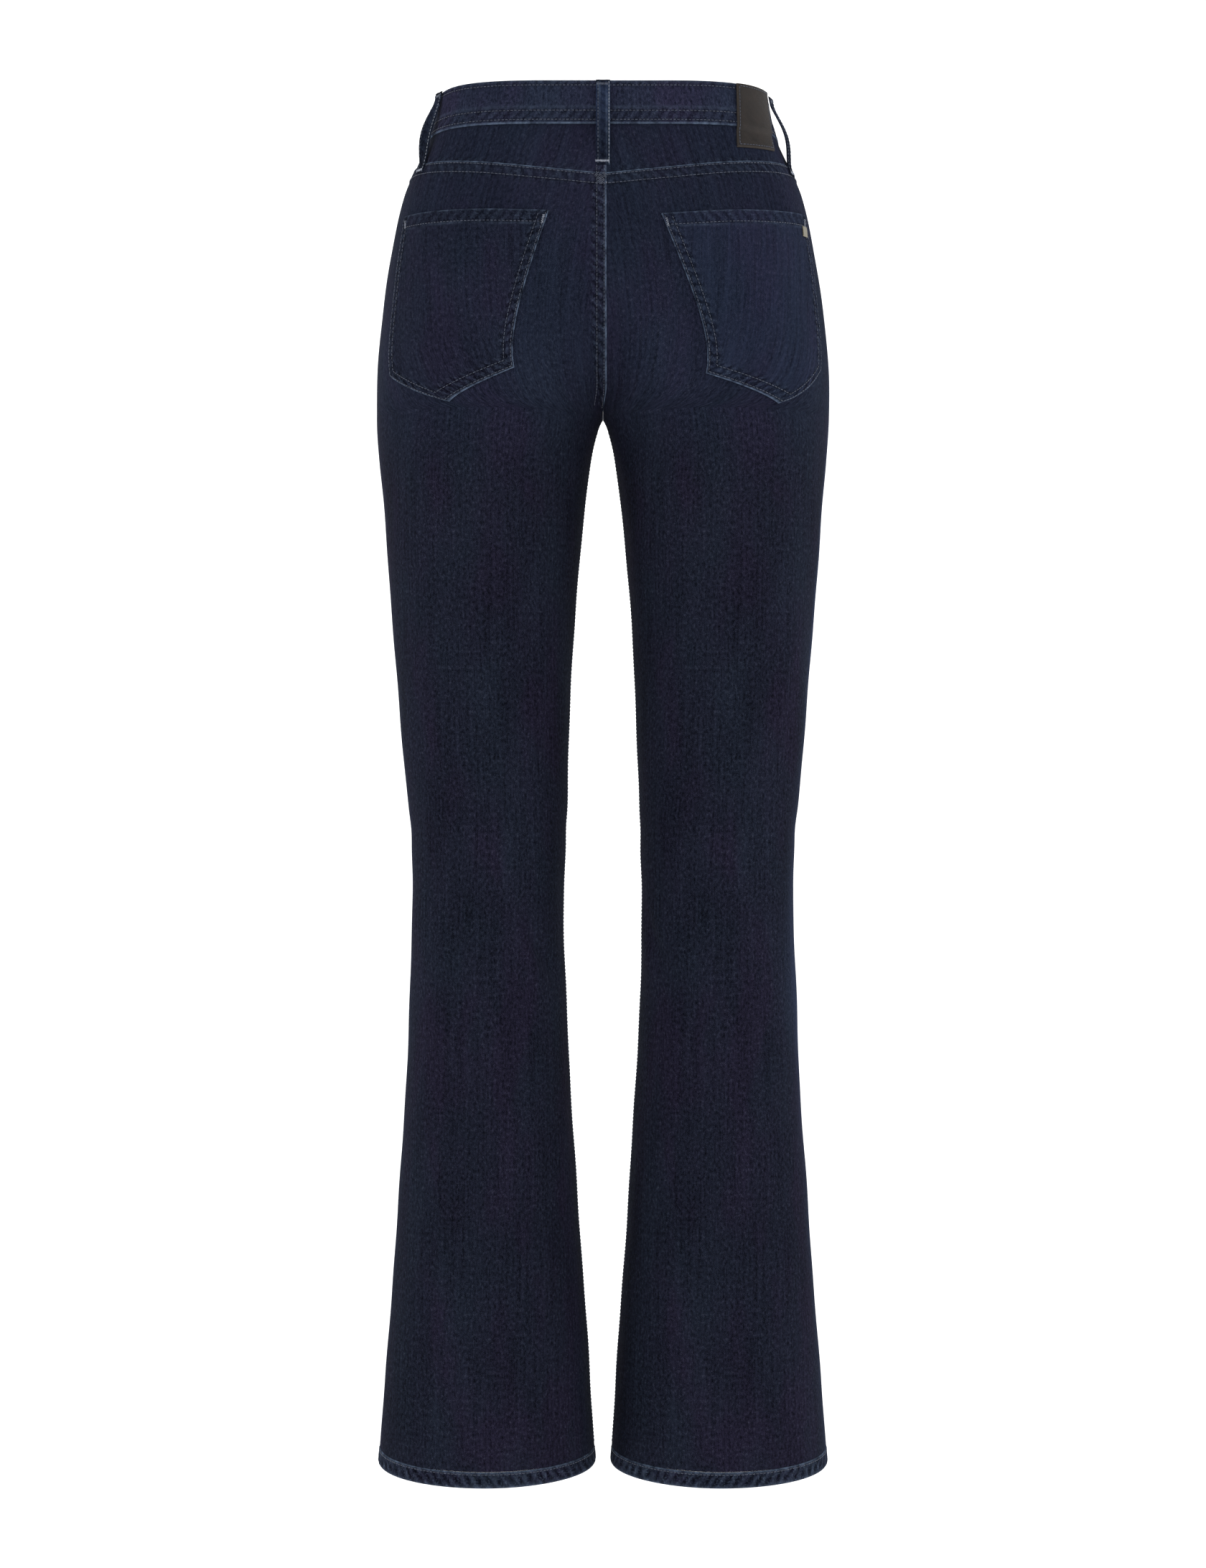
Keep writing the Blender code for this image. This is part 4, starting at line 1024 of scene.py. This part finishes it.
def reachOf(x, z):  # how far round from the centre back a point of the outline is
    turns = np.linspace(4, float(turnAtX(np.array(x), z, True)), 200)
    return walkOf(np.stack(outline(turns, np.full(200, z)), axis=-1))[-1]


def atShares(line, shares):  # points at shares of a line's length
    walked = walkOf(line)
    return np.stack([np.interp(shares * walked[-1], walked, line[:, k]) for k in (0, 1)], axis=-1)


def denseLine(corners, count):
    return atShares(np.array(corners), np.linspace(0, 1, count))


def backPocket(name, side):
    flat = {key: np.array((reachOf(x, z), z)) for key, (x, z) in pockets[name].items()}
    curve = np.array([flat[key] for key in ("innerTop", "innerMiddle", "innerBottom")])
    inner = np.stack([softLine(curve[:, k], np.linspace(0, 2, 60)) for k in (0, 1)], axis=-1)
    outer = denseLine([flat["outerTop"], flat["outerBottom"]], 60)
    top = denseLine([flat["innerTop"], flat["outerTop"]], 60)
    bottom = denseLine([flat["innerBottom"], flat["tip"], flat["outerBottom"]], 120)
    toTip, fromTip = (np.linalg.norm(flat["tip"] - flat[key]) for key in ("innerBottom", "outerBottom"))
    steps = pockets["edgeSteps"]
    s = spaced(steps / np.linalg.norm(top[-1] - top[0]), 1, even(32))
    t = spaced(steps / np.linalg.norm(inner[-1] - inner[0]), 1, even(34))
    s[np.abs(s - toTip / (toTip + fromTip)).argmin()] = toTip / (toTip + fromTip)
    u, v = (share[..., None] for share in np.meshgrid(s, t))
    spots = (1 - v) * atShares(top, s) + v * atShares(bottom, s)
    spots += (1 - u) * atShares(inner, t)[:, None] + u * atShares(outer, t)[:, None]
    spots -= (1 - u) * (1 - v) * flat["innerTop"] + u * (1 - v) * flat["outerTop"]
    spots -= (1 - u) * v * flat["innerBottom"] + u * v * flat["outerBottom"]
    rim = np.concatenate([inner, bottom, outer[::-1]])
    fromRim, nearest = distanceTo(spots, rim)
    fromTop, rimWalk = distanceTo(spots, top)[0], walkOf(rim)[nearest]
    x, z = spots[..., 0], spots[..., 1]
    turns, hemWidth, near = turnsAtReach(x, z, True), pockets["hemWidth"], np.minimum(fromRim, fromTop)
    off = body["gap"] + pockets["proud"]
    off = off + edgeRound(fromRim, 0.0009, 0.0014) + edgeRound(fromTop, 0.0007, 0.0014)
    off += np.maximum(ledge(fromRim, pockets["perimeter"], 0.00035), ledge(fromTop, hemWidth, 0.00055))
    off += groove(fromRim, pockets["rows"], 0.00024) + groove(fromTop, [pockets["hemRow"]], 0.00024)
    off += 0.0006 * smoothStep(0.012, 0.045, near)
    off += 0.00016 * np.sin(rimWalk / 0.0078 * 2 * np.pi + fromRim * 700) * ledge(fromRim, 0.01)
    wear = 0.8 * bell(fromRim, 0.0008) + 0.5 * bell(fromTop, 0.0009) + 0.16 * bell(fromTop - hemWidth, 0.0008)
    piece = clothPiece(
        "backPocket" + name.capitalize(), "back_pocket_" + name, side, (turns, z), off, body["gap"],
        uv=(-x * side, z),
        beside=(near, np.where(fromRim < fromTop, rimWalk, x)),
        wearAndPaintedLight=(wear, (0.08 if side > 0 else 0.24) + outerFadeAndSheen(np.abs(turns - 2) * 0.11, z, side),
                stitchShade(fromRim, pockets["rows"]) + stitchShade(fromTop, [pockets["hemRow"]]),
                np.maximum(0.7 * ledge(fromRim, pockets["perimeter"] + 0.0015),
                           0.5 * ledge(fromTop, hemWidth))),
        look=("denim_pocket", denimPocket, reverse), turned=True,
    )

    lines, centre = [], spots.reshape(-1, 2).mean(axis=0)
    for at in pockets["rows"]:  # each row follows the rim, cut short at the pocket's mouth
        parts = []
        for line in (inner, bottom, outer[::-1]):
            tangent = np.gradient(line, axis=0)
            tangent /= np.linalg.norm(tangent, axis=1, keepdims=True)
            inward = np.stack([-tangent[:, 1], tangent[:, 0]], axis=-1)
            parts.append(line + inward * np.sign(((centre - line) * inward).sum(1))[:, None] * at)
        whole = np.concatenate(parts)
        mouth = whole[:, 1] < np.interp(whole[:, 0], top[:, 0], top[:, 1]) - 0.0012
        lines.append(whole[(distanceTo(whole, rim)[0] > at * 0.97) & mouth])
    row = top - [0, pockets["hemRow"]]
    row = row[row[:, 0] > np.interp(row[0, 1], inner[::-1, 1], inner[::-1, 0]) + 0.0025]
    lines.append(row[row[:, 0] < np.interp(row[-1, 1], outer[::-1, 1], outer[::-1, 0]) - 0.0025])
    base, tacks = body["gap"] + pockets["proud"], []
    stitches = [stitchRow(turnsAtReach(*line.T, True), line[:, 1], base + 0.0003, side) for line in lines]
    for corner, lean in (("innerTop", 1), ("outerTop", -1)):
        reach, heights = (flat[corner] + [[lean * 0.004, -0.004], [lean * 0.0058, -0.012]]).T
        pair, normals = stitchRow(turnsAtReach(reach, heights, True), heights, base + 0.0006, side)[:2]
        tacks += tack(pair.mean(axis=0), pair[1] - pair[0], normals[0], 0.008, 0.0021, 0.00022, 0.00085)
    return stitches, tacks


stitches, tacks = zip(backPocket("left", 1), backPocket("right", -1))
stitchMesh("pocketStitches", sum(stitches, []), navyThread)
stitchMesh("pocketTacks", sum(tacks, []), paleThread)


print("seam stitches")


def seamStitches():
    rows, lip = [], panel["lip"] - 0.0001
    turns = np.linspace(2.01, 3.996, 240)
    for side in (1, -1):  # yoke seams, two rows along the top edge of each back panel
        for at in seamRows["yoke"]:
            rows.append(stitchRow(turns, yokeBottom(turns) - body["gap"] / 2 - at, lip, side))
    z = np.linspace(-0.0215, body["crotchZ"] + 0.006, 160)
    for at in seamRows["centre"]:  # the centre back seam
        x = at - panel["centreLap"] * smoothStep(body["crotchZ"] + 0.001, -0.226, z)
        turns = turnAtX(np.abs(x), z, True)
        rows.append(stitchRow(np.where(x < 0, 8 - turns, turns), z, lip))
    z = np.linspace(-0.256, hem["z"] + hem["height"] + 0.002, 400)
    for side in (1, -1):  # inseams, on the front panels
        for at in seamRows["inseam"]:
            grid = rowTurns(z, panel["seamInset"], 1.0, np.array((0, at)), np.array([0.5]))[0]
            rows.append(stitchRow(grid[:, 1], z, 0.0004, side))
    for offset in (0.0, 0.0062):  # the curved fly rows
        x, z = flyCurve(offset)
        x, z = x[x > 0.0018], z[x > 0.0018]
        rows.append(stitchRow(turnAtX(x, z, False), z, 0.0006))
    z = np.linspace(-0.034, -0.205, 70)
    turns = turnAtX(np.full(70, 0.0022), z, False)
    rows.append(stitchRow(turns, z, np.where(z > frontShape["flyBottom"], 0.0006, 0.0001)))
    angle, (cornerX, cornerZ) = np.linspace(0.3, math.pi / 2, 50), frontShape["scoopCorner"]
    for side in (1, -1):  # scooped pocket mouths, on to the side seams
        for at in seamRows["mouth"]:
            z = cornerZ - (frontShape["scoopDrop"] + at) * np.sin(angle)
            turns = turnAtX(cornerX - (frontShape["scoopWidth"] + at) * np.cos(angle), z, False)
            turns = np.concatenate([turns, np.linspace(turns[-1], 1.985, 30)[1:]])
            rows.append(stitchRow(turns, np.concatenate([z, np.full(29, z[-1])]), 0.0004, side))
    spot, up = tackSpot(0.0016, -0.0628, 0.0011, True)
    for slant in (0.7, -0.7):  # a crossed block of tacking at the middle of the yoke seams
        rows += tack(spot, (slant, 0, -1), up, 0.012, 0.0052, 0.00024, 0.0013)
    stitchMesh("seamStitches", rows, navyThread)
    marks = []
    for x, z in ((0.006, -0.15), (0.03, -0.118)):
        spot, up = tackSpot(x, z, 0.0012, False)
        marks += tack(spot, (0.3, 0, 1), up, 0.009, 0.0019)
    stitchMesh("seamTacks", marks, paleThread)


def tackSpot(x, z, off, back):  # a point over the cloth and the way it faces
    turn, height = turnAtX(np.array([x]), z, back), np.array([z])
    return onCloth(turn, height, off)[0], clothNormal(turn, height)[0]


seamStitches()


print("belt loops")

beltLoops = {
    "width": 0.0115,
    "thick": 0.0014,
    "tack": 0.008,
    "spread": np.array([0, 0.25, 0.46, 0.6, 0.72, 0.88, 0.965, 1]),  # from the middle out
    "profile": np.array([0.74, 0.8, 1.02, 1.06, 0.9, 0.98, 0.8, 0.45]),
    "places": [  # node, side, on the back, reach at the top and foot, foot, bow, how rubbed and how strong its painted sheen and shade are, twist in degrees
        ("back", 1, True, (0, 0), -0.05, 0.0056, 1.0, 0),
        ("side_left", 1, True, (0.152, 0.164), -0.05, 0.0036, 0.25, -26),
        ("side_right", -1, True, (0.169, 0.179), -0.05, 0.0046, 0.25, 0),
        ("front_left", 1, False, (0.06, 0.062), -0.058, 0.0056, 0.7, 0),
        ("front_right", -1, False, (0.06, 0.062), -0.058, 0.0056, 0.7, 0),
    ],
}


def beltLoop(node, side, back, reaches, low, bow, rubAndPaintedLight, twist):
    (reachTop, reachLow), thick = reaches, beltLoops["thick"]
    top = float(bandTop(np.array([turnAtReach(reachTop, waistband["topSide"], back)]))[0])
    heights = np.array([top, top - beltLoops["tack"], low + beltLoops["tack"], low])
    reach = reachTop + (reachLow - reachTop) * (top - heights) / (top - low)
    clear = np.array([waistband["proud"] + 0.0006, waistband["proud"] + 0.0009, 0.0006, 0.0006])
    z = np.repeat(heights[:, None], 5, axis=1)
    turns = turnsAtReach(reach[:, None] + np.linspace(-0.5, 0.5, 5) * beltLoops["width"], z, back)
    rows = onCloth(turns, z, clear[:, None] + 0 * z, side)
    run = rows[2, -1] - rows[2, 0]
    away = np.array([run[1], -run[0], 0]) / np.hypot(run[0], run[1])
    away *= np.sign(away @ np.array([rows[0, 2, 0], rows[0, 2, 1], 0]))
    middles = [(row[0] + row[-1]) / 2 for row in rows]
    seats = [middle + away * max((row - middle) @ away) for row, middle in zip(rows, middles)]
    share = np.linspace(0, 1, 40)[:, None]
    bowed = seats[1] + (seats[2] - seats[1]) * share + away * bow * np.sin(np.pi * share) ** 1.4
    ends = [seats[0] + (seats[1] - seats[0]) * k for k in (0, 0.04, 0.12, 0.3, 0.6)]
    tails = [seats[2] + (seats[3] - seats[2]) * k for k in (0.4, 0.7, 0.88, 0.96, 1)]
    line = np.array([*ends, *bowed, *tails])
    turned = math.radians(twist) * np.sin(np.pi * np.clip(np.linspace(-0.14, 1.14, len(line)), 0, 1))
    across = np.cross([0, 0, 1], away)
    edgeSign = -1 if across[0] > 0 else 1
    acrossAt = across * np.cos(turned)[:, None] + away * np.sin(turned)[:, None]
    awayAt = away * np.cos(turned)[:, None] - across * np.sin(turned)[:, None]
    walked = walkOf(line)
    spread = np.concatenate([-beltLoops["spread"][:0:-1], beltLoops["spread"]]) * beltLoops["width"] / 2
    along, spread = np.broadcast_arrays(walked[:, None], spread)
    fromEnd = np.minimum(along, walked[-1] - along)
    profile = np.concatenate([beltLoops["profile"][:0:-1], beltLoops["profile"]])
    height = profile * thick * (1 + 0.05 * np.sin(along * 900))
    height += edgeRound(fromEnd, 0.0007, 0.0014) - 0.00025 * bell(fromEnd - 0.0045, 0.0018)
    base = line[:, None] + acrossAt[:, None] * spread[..., None]
    outer, inner = base + awayAt[:, None] * height[..., None], base + awayAt[:, None] * 0.0001
    lower = smoothStep(0.012, walked[-1] - 0.006, along)
    wear = 0.3 * bell(np.abs(spread) - 0.0031, 0.0008) * (1 - 0.5 * lower)
    wear += 0.55 * bell(spread * edgeSign - 0.005, 0.0006)
    shade = 0.3 * bell(spread, 0.0018) * rubAndPaintedLight + 0.35 * lower + 0.7 * bell(along, 0.003)
    shade += stitchShade(np.abs(spread), [0.0041], 0.35)
    # wear, painted sheen with fade, painted shade and pucker strength
    wearAndPaintedLight = pack(wear * rubAndPaintedLight, 0.8 * rubAndPaintedLight * (1 - 0.6 * lower), np.clip(shade, 0, 0.85), 0.5)
    name = "beltLoop" + "".join(word.capitalize() for word in node.split("_"))
    inwards = np.cross(outer[1, 0] - outer[0, 0], outer[0, 1] - outer[0, 0]) @ away <= 0
    weave, beside = pack(spread, -along), pack(spread + 0.006, along)
    piece = clothMesh(name, outer, inner, weave, beside, wearAndPaintedLight, flip=inwards)
    settle(piece, ["belt_loop_" + node], [denimStrap, denimStrap])
    rubbed, dark = (
        ((line + acrossAt * x * edgeSign + awayAt * thick * 0.93)[2:-2], awayAt[2:-2], *thread["loop"])
        for x in (0.0048, -0.0041)
    )
    tacks = []
    for at, wide in ((0.0036, 0.0098), (walked[-1] - 0.0034, 0.0118)):
        centre = np.array([np.interp(at, walked, line[:, k]) for k in range(3)]) + away * thick * 0.98
        tacks.append(tack(centre, across, away, wide, 0.0023))
    return piece, rubbed, [dark, *tacks[0]], tacks[1]


loops, rubbedRows, darkRows, lowTacks = zip(*[beltLoop(*place) for place in beltLoops["places"]])
loopStitches = stitchMesh("beltLoopStitches", rubbedRows, paleThread)
darkStitches = stitchMesh("beltLoopDarkStitches", sum(darkRows, []), navyThread)
loopTacks = stitchMesh("beltLoopTacks", sum(lowTacks, []), paleThread)


print("patch, tab, button and zip")

patchShape = {
    "reach": (0.1095, 0.151),
    "bottom": -0.0328,
    "thick": 0.0016,
    "stitchIn": 0.0022,
    "steps": np.array([0, 0.3, 0.8, 1.6, 2.2, 2.8, 4]) / 1000,
}
tabShape = {
    "reach": 0.179,
    "width": 0.0095,
    "low": -0.103,
    "height": 0.009,
    "thick": 0.0007,
    "off": 0.0024,
    "steps": np.array([0, 0.0003, 0.0008, 0.0015]),
}
buttonShape = {"x": 0.014, "radius": 0.0085}


def patchLift(turns, z):  # the patch lies on the waistband above and on the yoke below
    step = smoothStep(-0.0005, 0.004, z - bandBottom(turns) + 0.004)
    return (waistband["proud"] + 0.0007) * step + body["gap"] + 0.0002


def makePatch():
    steps, inset = patchShape["steps"], patchShape["stitchIn"]
    start, end = patchShape["reach"]
    reach = start + spaced(steps, end - start, even(18))
    top = bandTop(np.array([turnAtReach(r, 0.0, True) for r in reach])) - 0.0006
    share = spaced(steps / (top.mean() - patchShape["bottom"]), 1, even(24))[:, None]
    bottom = patchShape["bottom"] + 0.0015 * (reach - reach.mean()) / (end - start)
    z = top + (bottom - top) * share
    turns = turnsAtReach(reach + 0 * z, z, True)
    under = patchLift(turns, z)
    left, up = np.minimum(reach - start, end - reach), np.minimum(top - z, z - bottom)
    rim = np.minimum(left, up)
    cornerGap = np.hypot(np.maximum(0.003 - left, 0), np.maximum(0.003 - up, 0))
    thick = patchShape["thick"] + edgeRound(rim, 0.0008, 0.0013)
    thick = thick - 0.0004 * smoothStep(0.0024, 0.0042, cornerGap)
    thick += groove(rim, [inset], 0.0002, 0.0008) + 0.0001 * np.sin(z * 900) * np.sin(reach * 700)
    piece = clothPiece(
        "patch", "label_patch", -1, (turns, z), under + thick, under,
        uv=(reach, z), beside=(rim, z),
        wearAndPaintedLight=(0.9 * bell(rim, 0.0009), 0, 0.5 * bell(rim - inset, 0.0008), 0),
        look=("leather", leather, leather), turned=True,
    )
    across, tops, bottoms = (start + inset, end - inset), top - inset, bottom + inset
    corners = [(across[k], float(np.interp(across[k], reach, level))) for k, level in
               ((0, tops), (1, tops), (1, bottoms), (0, bottoms), (0, tops))]
    spots = denseLine(corners, 160)
    turns, z = turnsAtReach(*spots.T, True), spots[:, 1]
    row = (*stitchRow(turns, z, patchLift(turns, z) + patchShape["thick"] - 0.0001, -1)[:2], *thread["loop"])
    return piece, stitchMesh("patchStitches", [row], navyThread)


def makeTab():
    steps, off = tabShape["steps"], tabShape["off"]
    reach = tabShape["reach"] + spaced(steps, tabShape["width"], even(6))
    z = tabShape["low"] + spaced(steps, tabShape["height"], even(6))[::-1, None]
    rim = np.minimum(np.minimum(reach - reach[0], reach[-1] - reach), np.minimum(z - z[-1], z[0] - z))
    outerOff = off + tabShape["thick"] + edgeRound(rim, 0.0005, 0.0008)
    outerOff = outerOff - 0.00012 * smoothStep(0.001, 0.0016, rim)
    reach, z = np.broadcast_arrays(reach, z)
    place = (turnsAtReach(reach, z, True), z)
    clothPiece(
        "pocketTab", "pocket_tab", -1, place, outerOff, off,
        uv=(reach, z), beside=(rim, z), wearAndPaintedLight=(0, 0, 0, 0), look=("silver_metal", silver), turned=True,
    )


def turnedThing(name, profile, centre, axis, count=64):
    angles = 2 * np.pi * np.arange(count) / count
    axis = axis / np.linalg.norm(axis)
    first = np.cross(axis, [0, 0, 1.0] if abs(axis[2]) < 0.9 else [1.0, 0, 0])
    first /= np.linalg.norm(first)
    ring = first * np.cos(angles)[:, None] + np.cross(axis, first) * np.sin(angles)[:, None]
    faces = []
    for k in range(len(profile) - 1):
        low, high = k * count, (k + 1) * count
        faces += [(low + a, low + (a + 1) % count, high + (a + 1) % count, high + a) for a in range(count)]
    faces += [list(range(count))[::-1], [(len(profile) - 1) * count + a for a in range(count)]]
    return newThing(name, np.concatenate([centre + axis * h + ring * r for r, h in profile]), faces, 40)


def makeButton():
    middle = float(bandTop(np.array([0.0]))[0]) - waistband["height"] / 2
    centre, axis = tackSpot(buttonShape["x"], middle, waistband["proud"] + 0.0004, False)
    inset = [  # in from the rim and up, in thousandths
        (1.6, 0.2), (0.5, 0.6), (0, 1.4), (0, 2.1), (0.5, 2.8), (1.2, 3.1),
        (1.9, 3.0), (2.5, 2.6), (3.0, 2.4), (3.4, 2.6), (4.0, 2.65), (5.6, 2.7),
    ]
    rim = [(buttonShape["radius"] - a / 1000, b / 1000) for a, b in inset]
    head = [(0.0022, -0.0002), *rim, (0.0006, 0.0027)]
    settle(turnedThing("waistButton", head, centre, axis), ["waist_button"], [buttonMetal])
    rivet = np.array([(8, -3), (38, -2), (44, 3), (44, 7), (40, 11), (8, 12)]) / 10000
    back = centre - axis * (2 * waistband["thick"] + 0.0014)
    settle(turnedThing("buttonRivet", rivet, back, axis, 40), [], [buttonMetal])


def stripGrid(highX, columns):  # behind the fly, from the waistband down
    x, share = np.linspace(-0.01, highX, columns), np.linspace(0, 1, 60)[:, None]
    top, bottom = bandBottom(np.zeros(1))[0] - body["gap"], frontShape["flyBottom"] + 0.002
    grid, z = np.broadcast_arrays(x, top + (bottom - top) * share)
    return np.sign(grid) * turnAtX(np.abs(grid), z, False), grid, z


def makeFlyInside():
    zipX, zipOff = 0.004, -body["cloth"] - body["gap"]
    turns, grid, z = stripGrid(0.02, 24)
    tape = zipOff - 0.0003 * smoothStep(0.0035, 0.0045, np.abs(grid - zipX))
    clothPiece(
        "zipTape", "fly_zip", 1, (turns, z), tape, zipOff - 0.0009,
        uv=(grid, z), beside=(grid, z), wearAndPaintedLight=(0, 0, 0, 0), look=("zip", navyTape, navyTape),
    )
    teeth = []
    for k in range(72):
        for lean in (-1, 1):
            height, reach = -0.04 - k * 0.0015, np.array([-0.0014, 0, 0.0014])
            spot, _ = tackSpot(zipX + lean * 0.001, height + lean * 0.0004, zipOff - 0.001, False)
            turn = turnAtX(np.array([zipX + lean * 0.001]), height + lean * 0.0004, False)
            normals = np.repeat(clothNormal(turn, np.array([height])), 3, axis=0)
            teeth.append((spot + reach[:, None] * [1, 0, 0], normals, 0.004, 0.0028, 0.00045))
    stitchMesh("zipTeeth", teeth, zipMetal)
    turns, grid, z = stripGrid(0.04, 30)
    rim = np.minimum(np.minimum(grid + 0.01, 0.04 - grid), z - z.min())
    off = zipOff - 0.0013
    shield = clothPiece(
        "flyShield", "fly_shield", 1, (turns, z), off, off - body["cloth"] - 0.0003 * ledge(rim, 0.004),
        uv=(grid, z), beside=(rim, z), wearAndPaintedLight=(0.4 * bell(rim, 0.001), 0, 0, 0.3),
        look=("denim", denim, denim),
    )


navyTape = threadMaterial("zipTapeCloth", (0.012, 0.015, 0.026), (0.03, 0.036, 0.055))
patch, patchStitches = makePatch()
makeTab()
makeButton()
makeFlyInside()


print("studio")

studio = {
    "floorZ": -1.2,
    "floorRadius": 4.4,
    "coveRadius": 1.2,
    "rimZ": 2.6,
    "floor": (0.5, 0.5, 0.503, 1),
    "glow": 0.84,  # keeps the paper near white under soft light
    "air": 0.25,
    "camera": (0.0, 2.8, -0.55),
    "lens": 76.92,
    "target": (0, 0, -0.5),
    "lights": [
        dict(name="keyLight", at=(-1.7, 3.0, 1.3), size=2.0, power=20),
        dict(name="fillLight", at=(2.0, 2.6, 0.3), size=2.2, power=12),
        dict(name="sideRight", at=(-2.4, 0.2, 0.2), size=1.8, power=19),
        dict(name="sideLeft", at=(2.4, 0.0, 0.2), size=1.8, power=8),
        dict(name="frontLight", at=(0.8, -2.6, 1.0), size=2.2, power=16),
        dict(name="topLight", at=(0, 0.2, 2.4), size=2.0, power=13),
    ],
}


def addAimed(name, data, at, target):
    thing = bpy.data.objects.new(name, data)
    thing.location = at
    bpy.context.scene.collection.objects.link(thing)
    thing.rotation_euler = (Vector(target) - thing.location).to_track_quat("-Z", "Y").to_euler()
    return thing


def makeStudio():  # a round paper floor that curves up into a low wall
    cove, scene = studio["coveRadius"], bpy.context.scene
    angles = np.linspace(0, math.pi / 2, 13)
    out, up = studio["floorRadius"], studio["floorZ"]
    profile = [(out + cove * math.sin(a), up + cove * (1 - math.cos(a))) for a in angles]
    profile.append((profile[-1][0], studio["rimZ"]))
    sweep = turnedThing("studioSweep", profile[::-1], np.zeros(3), np.array([0, 0, 1.0]), 96)
    mesh = bmesh.new()
    mesh.from_mesh(sweep.data)
    lids = [face for face in mesh.faces if len(face.verts) > 4 and face.calc_center_median().z > 0]
    bmesh.ops.delete(mesh, geom=lids, context="FACES_ONLY")
    mesh.to_mesh(sweep.data)
    mesh.free()
    paper = {"Base Color": studio["floor"], "Emission Color": (1, 1, 1, 1)}
    paper["Emission Strength"] = studio["glow"]
    sweep.data.materials.append(newLook("paperSweep", 0.9, specular=0.1, **paper)[0])
    for setting in studio["lights"]:
        data = bpy.data.lights.new(setting["name"], "AREA")
        data.size, data.energy = setting["size"], setting["power"]
        addAimed(setting["name"], data, setting["at"], studio["target"])
    world = bpy.data.worlds.new("studioAir")
    world.use_nodes = True
    setInputs(world.node_tree.nodes["Background"], {0: (0.97, 0.98, 1.0, 1), 1: studio["air"]})
    scene.world = world
    scene.view_settings.view_transform = "Standard"
    data = bpy.data.cameras.new("studioCamera")
    data.lens, data.sensor_width = studio["lens"], 36
    scene.camera = addAimed("studioCamera", data, studio["camera"], (0, 0, studio["camera"][2]))


makeStudio()
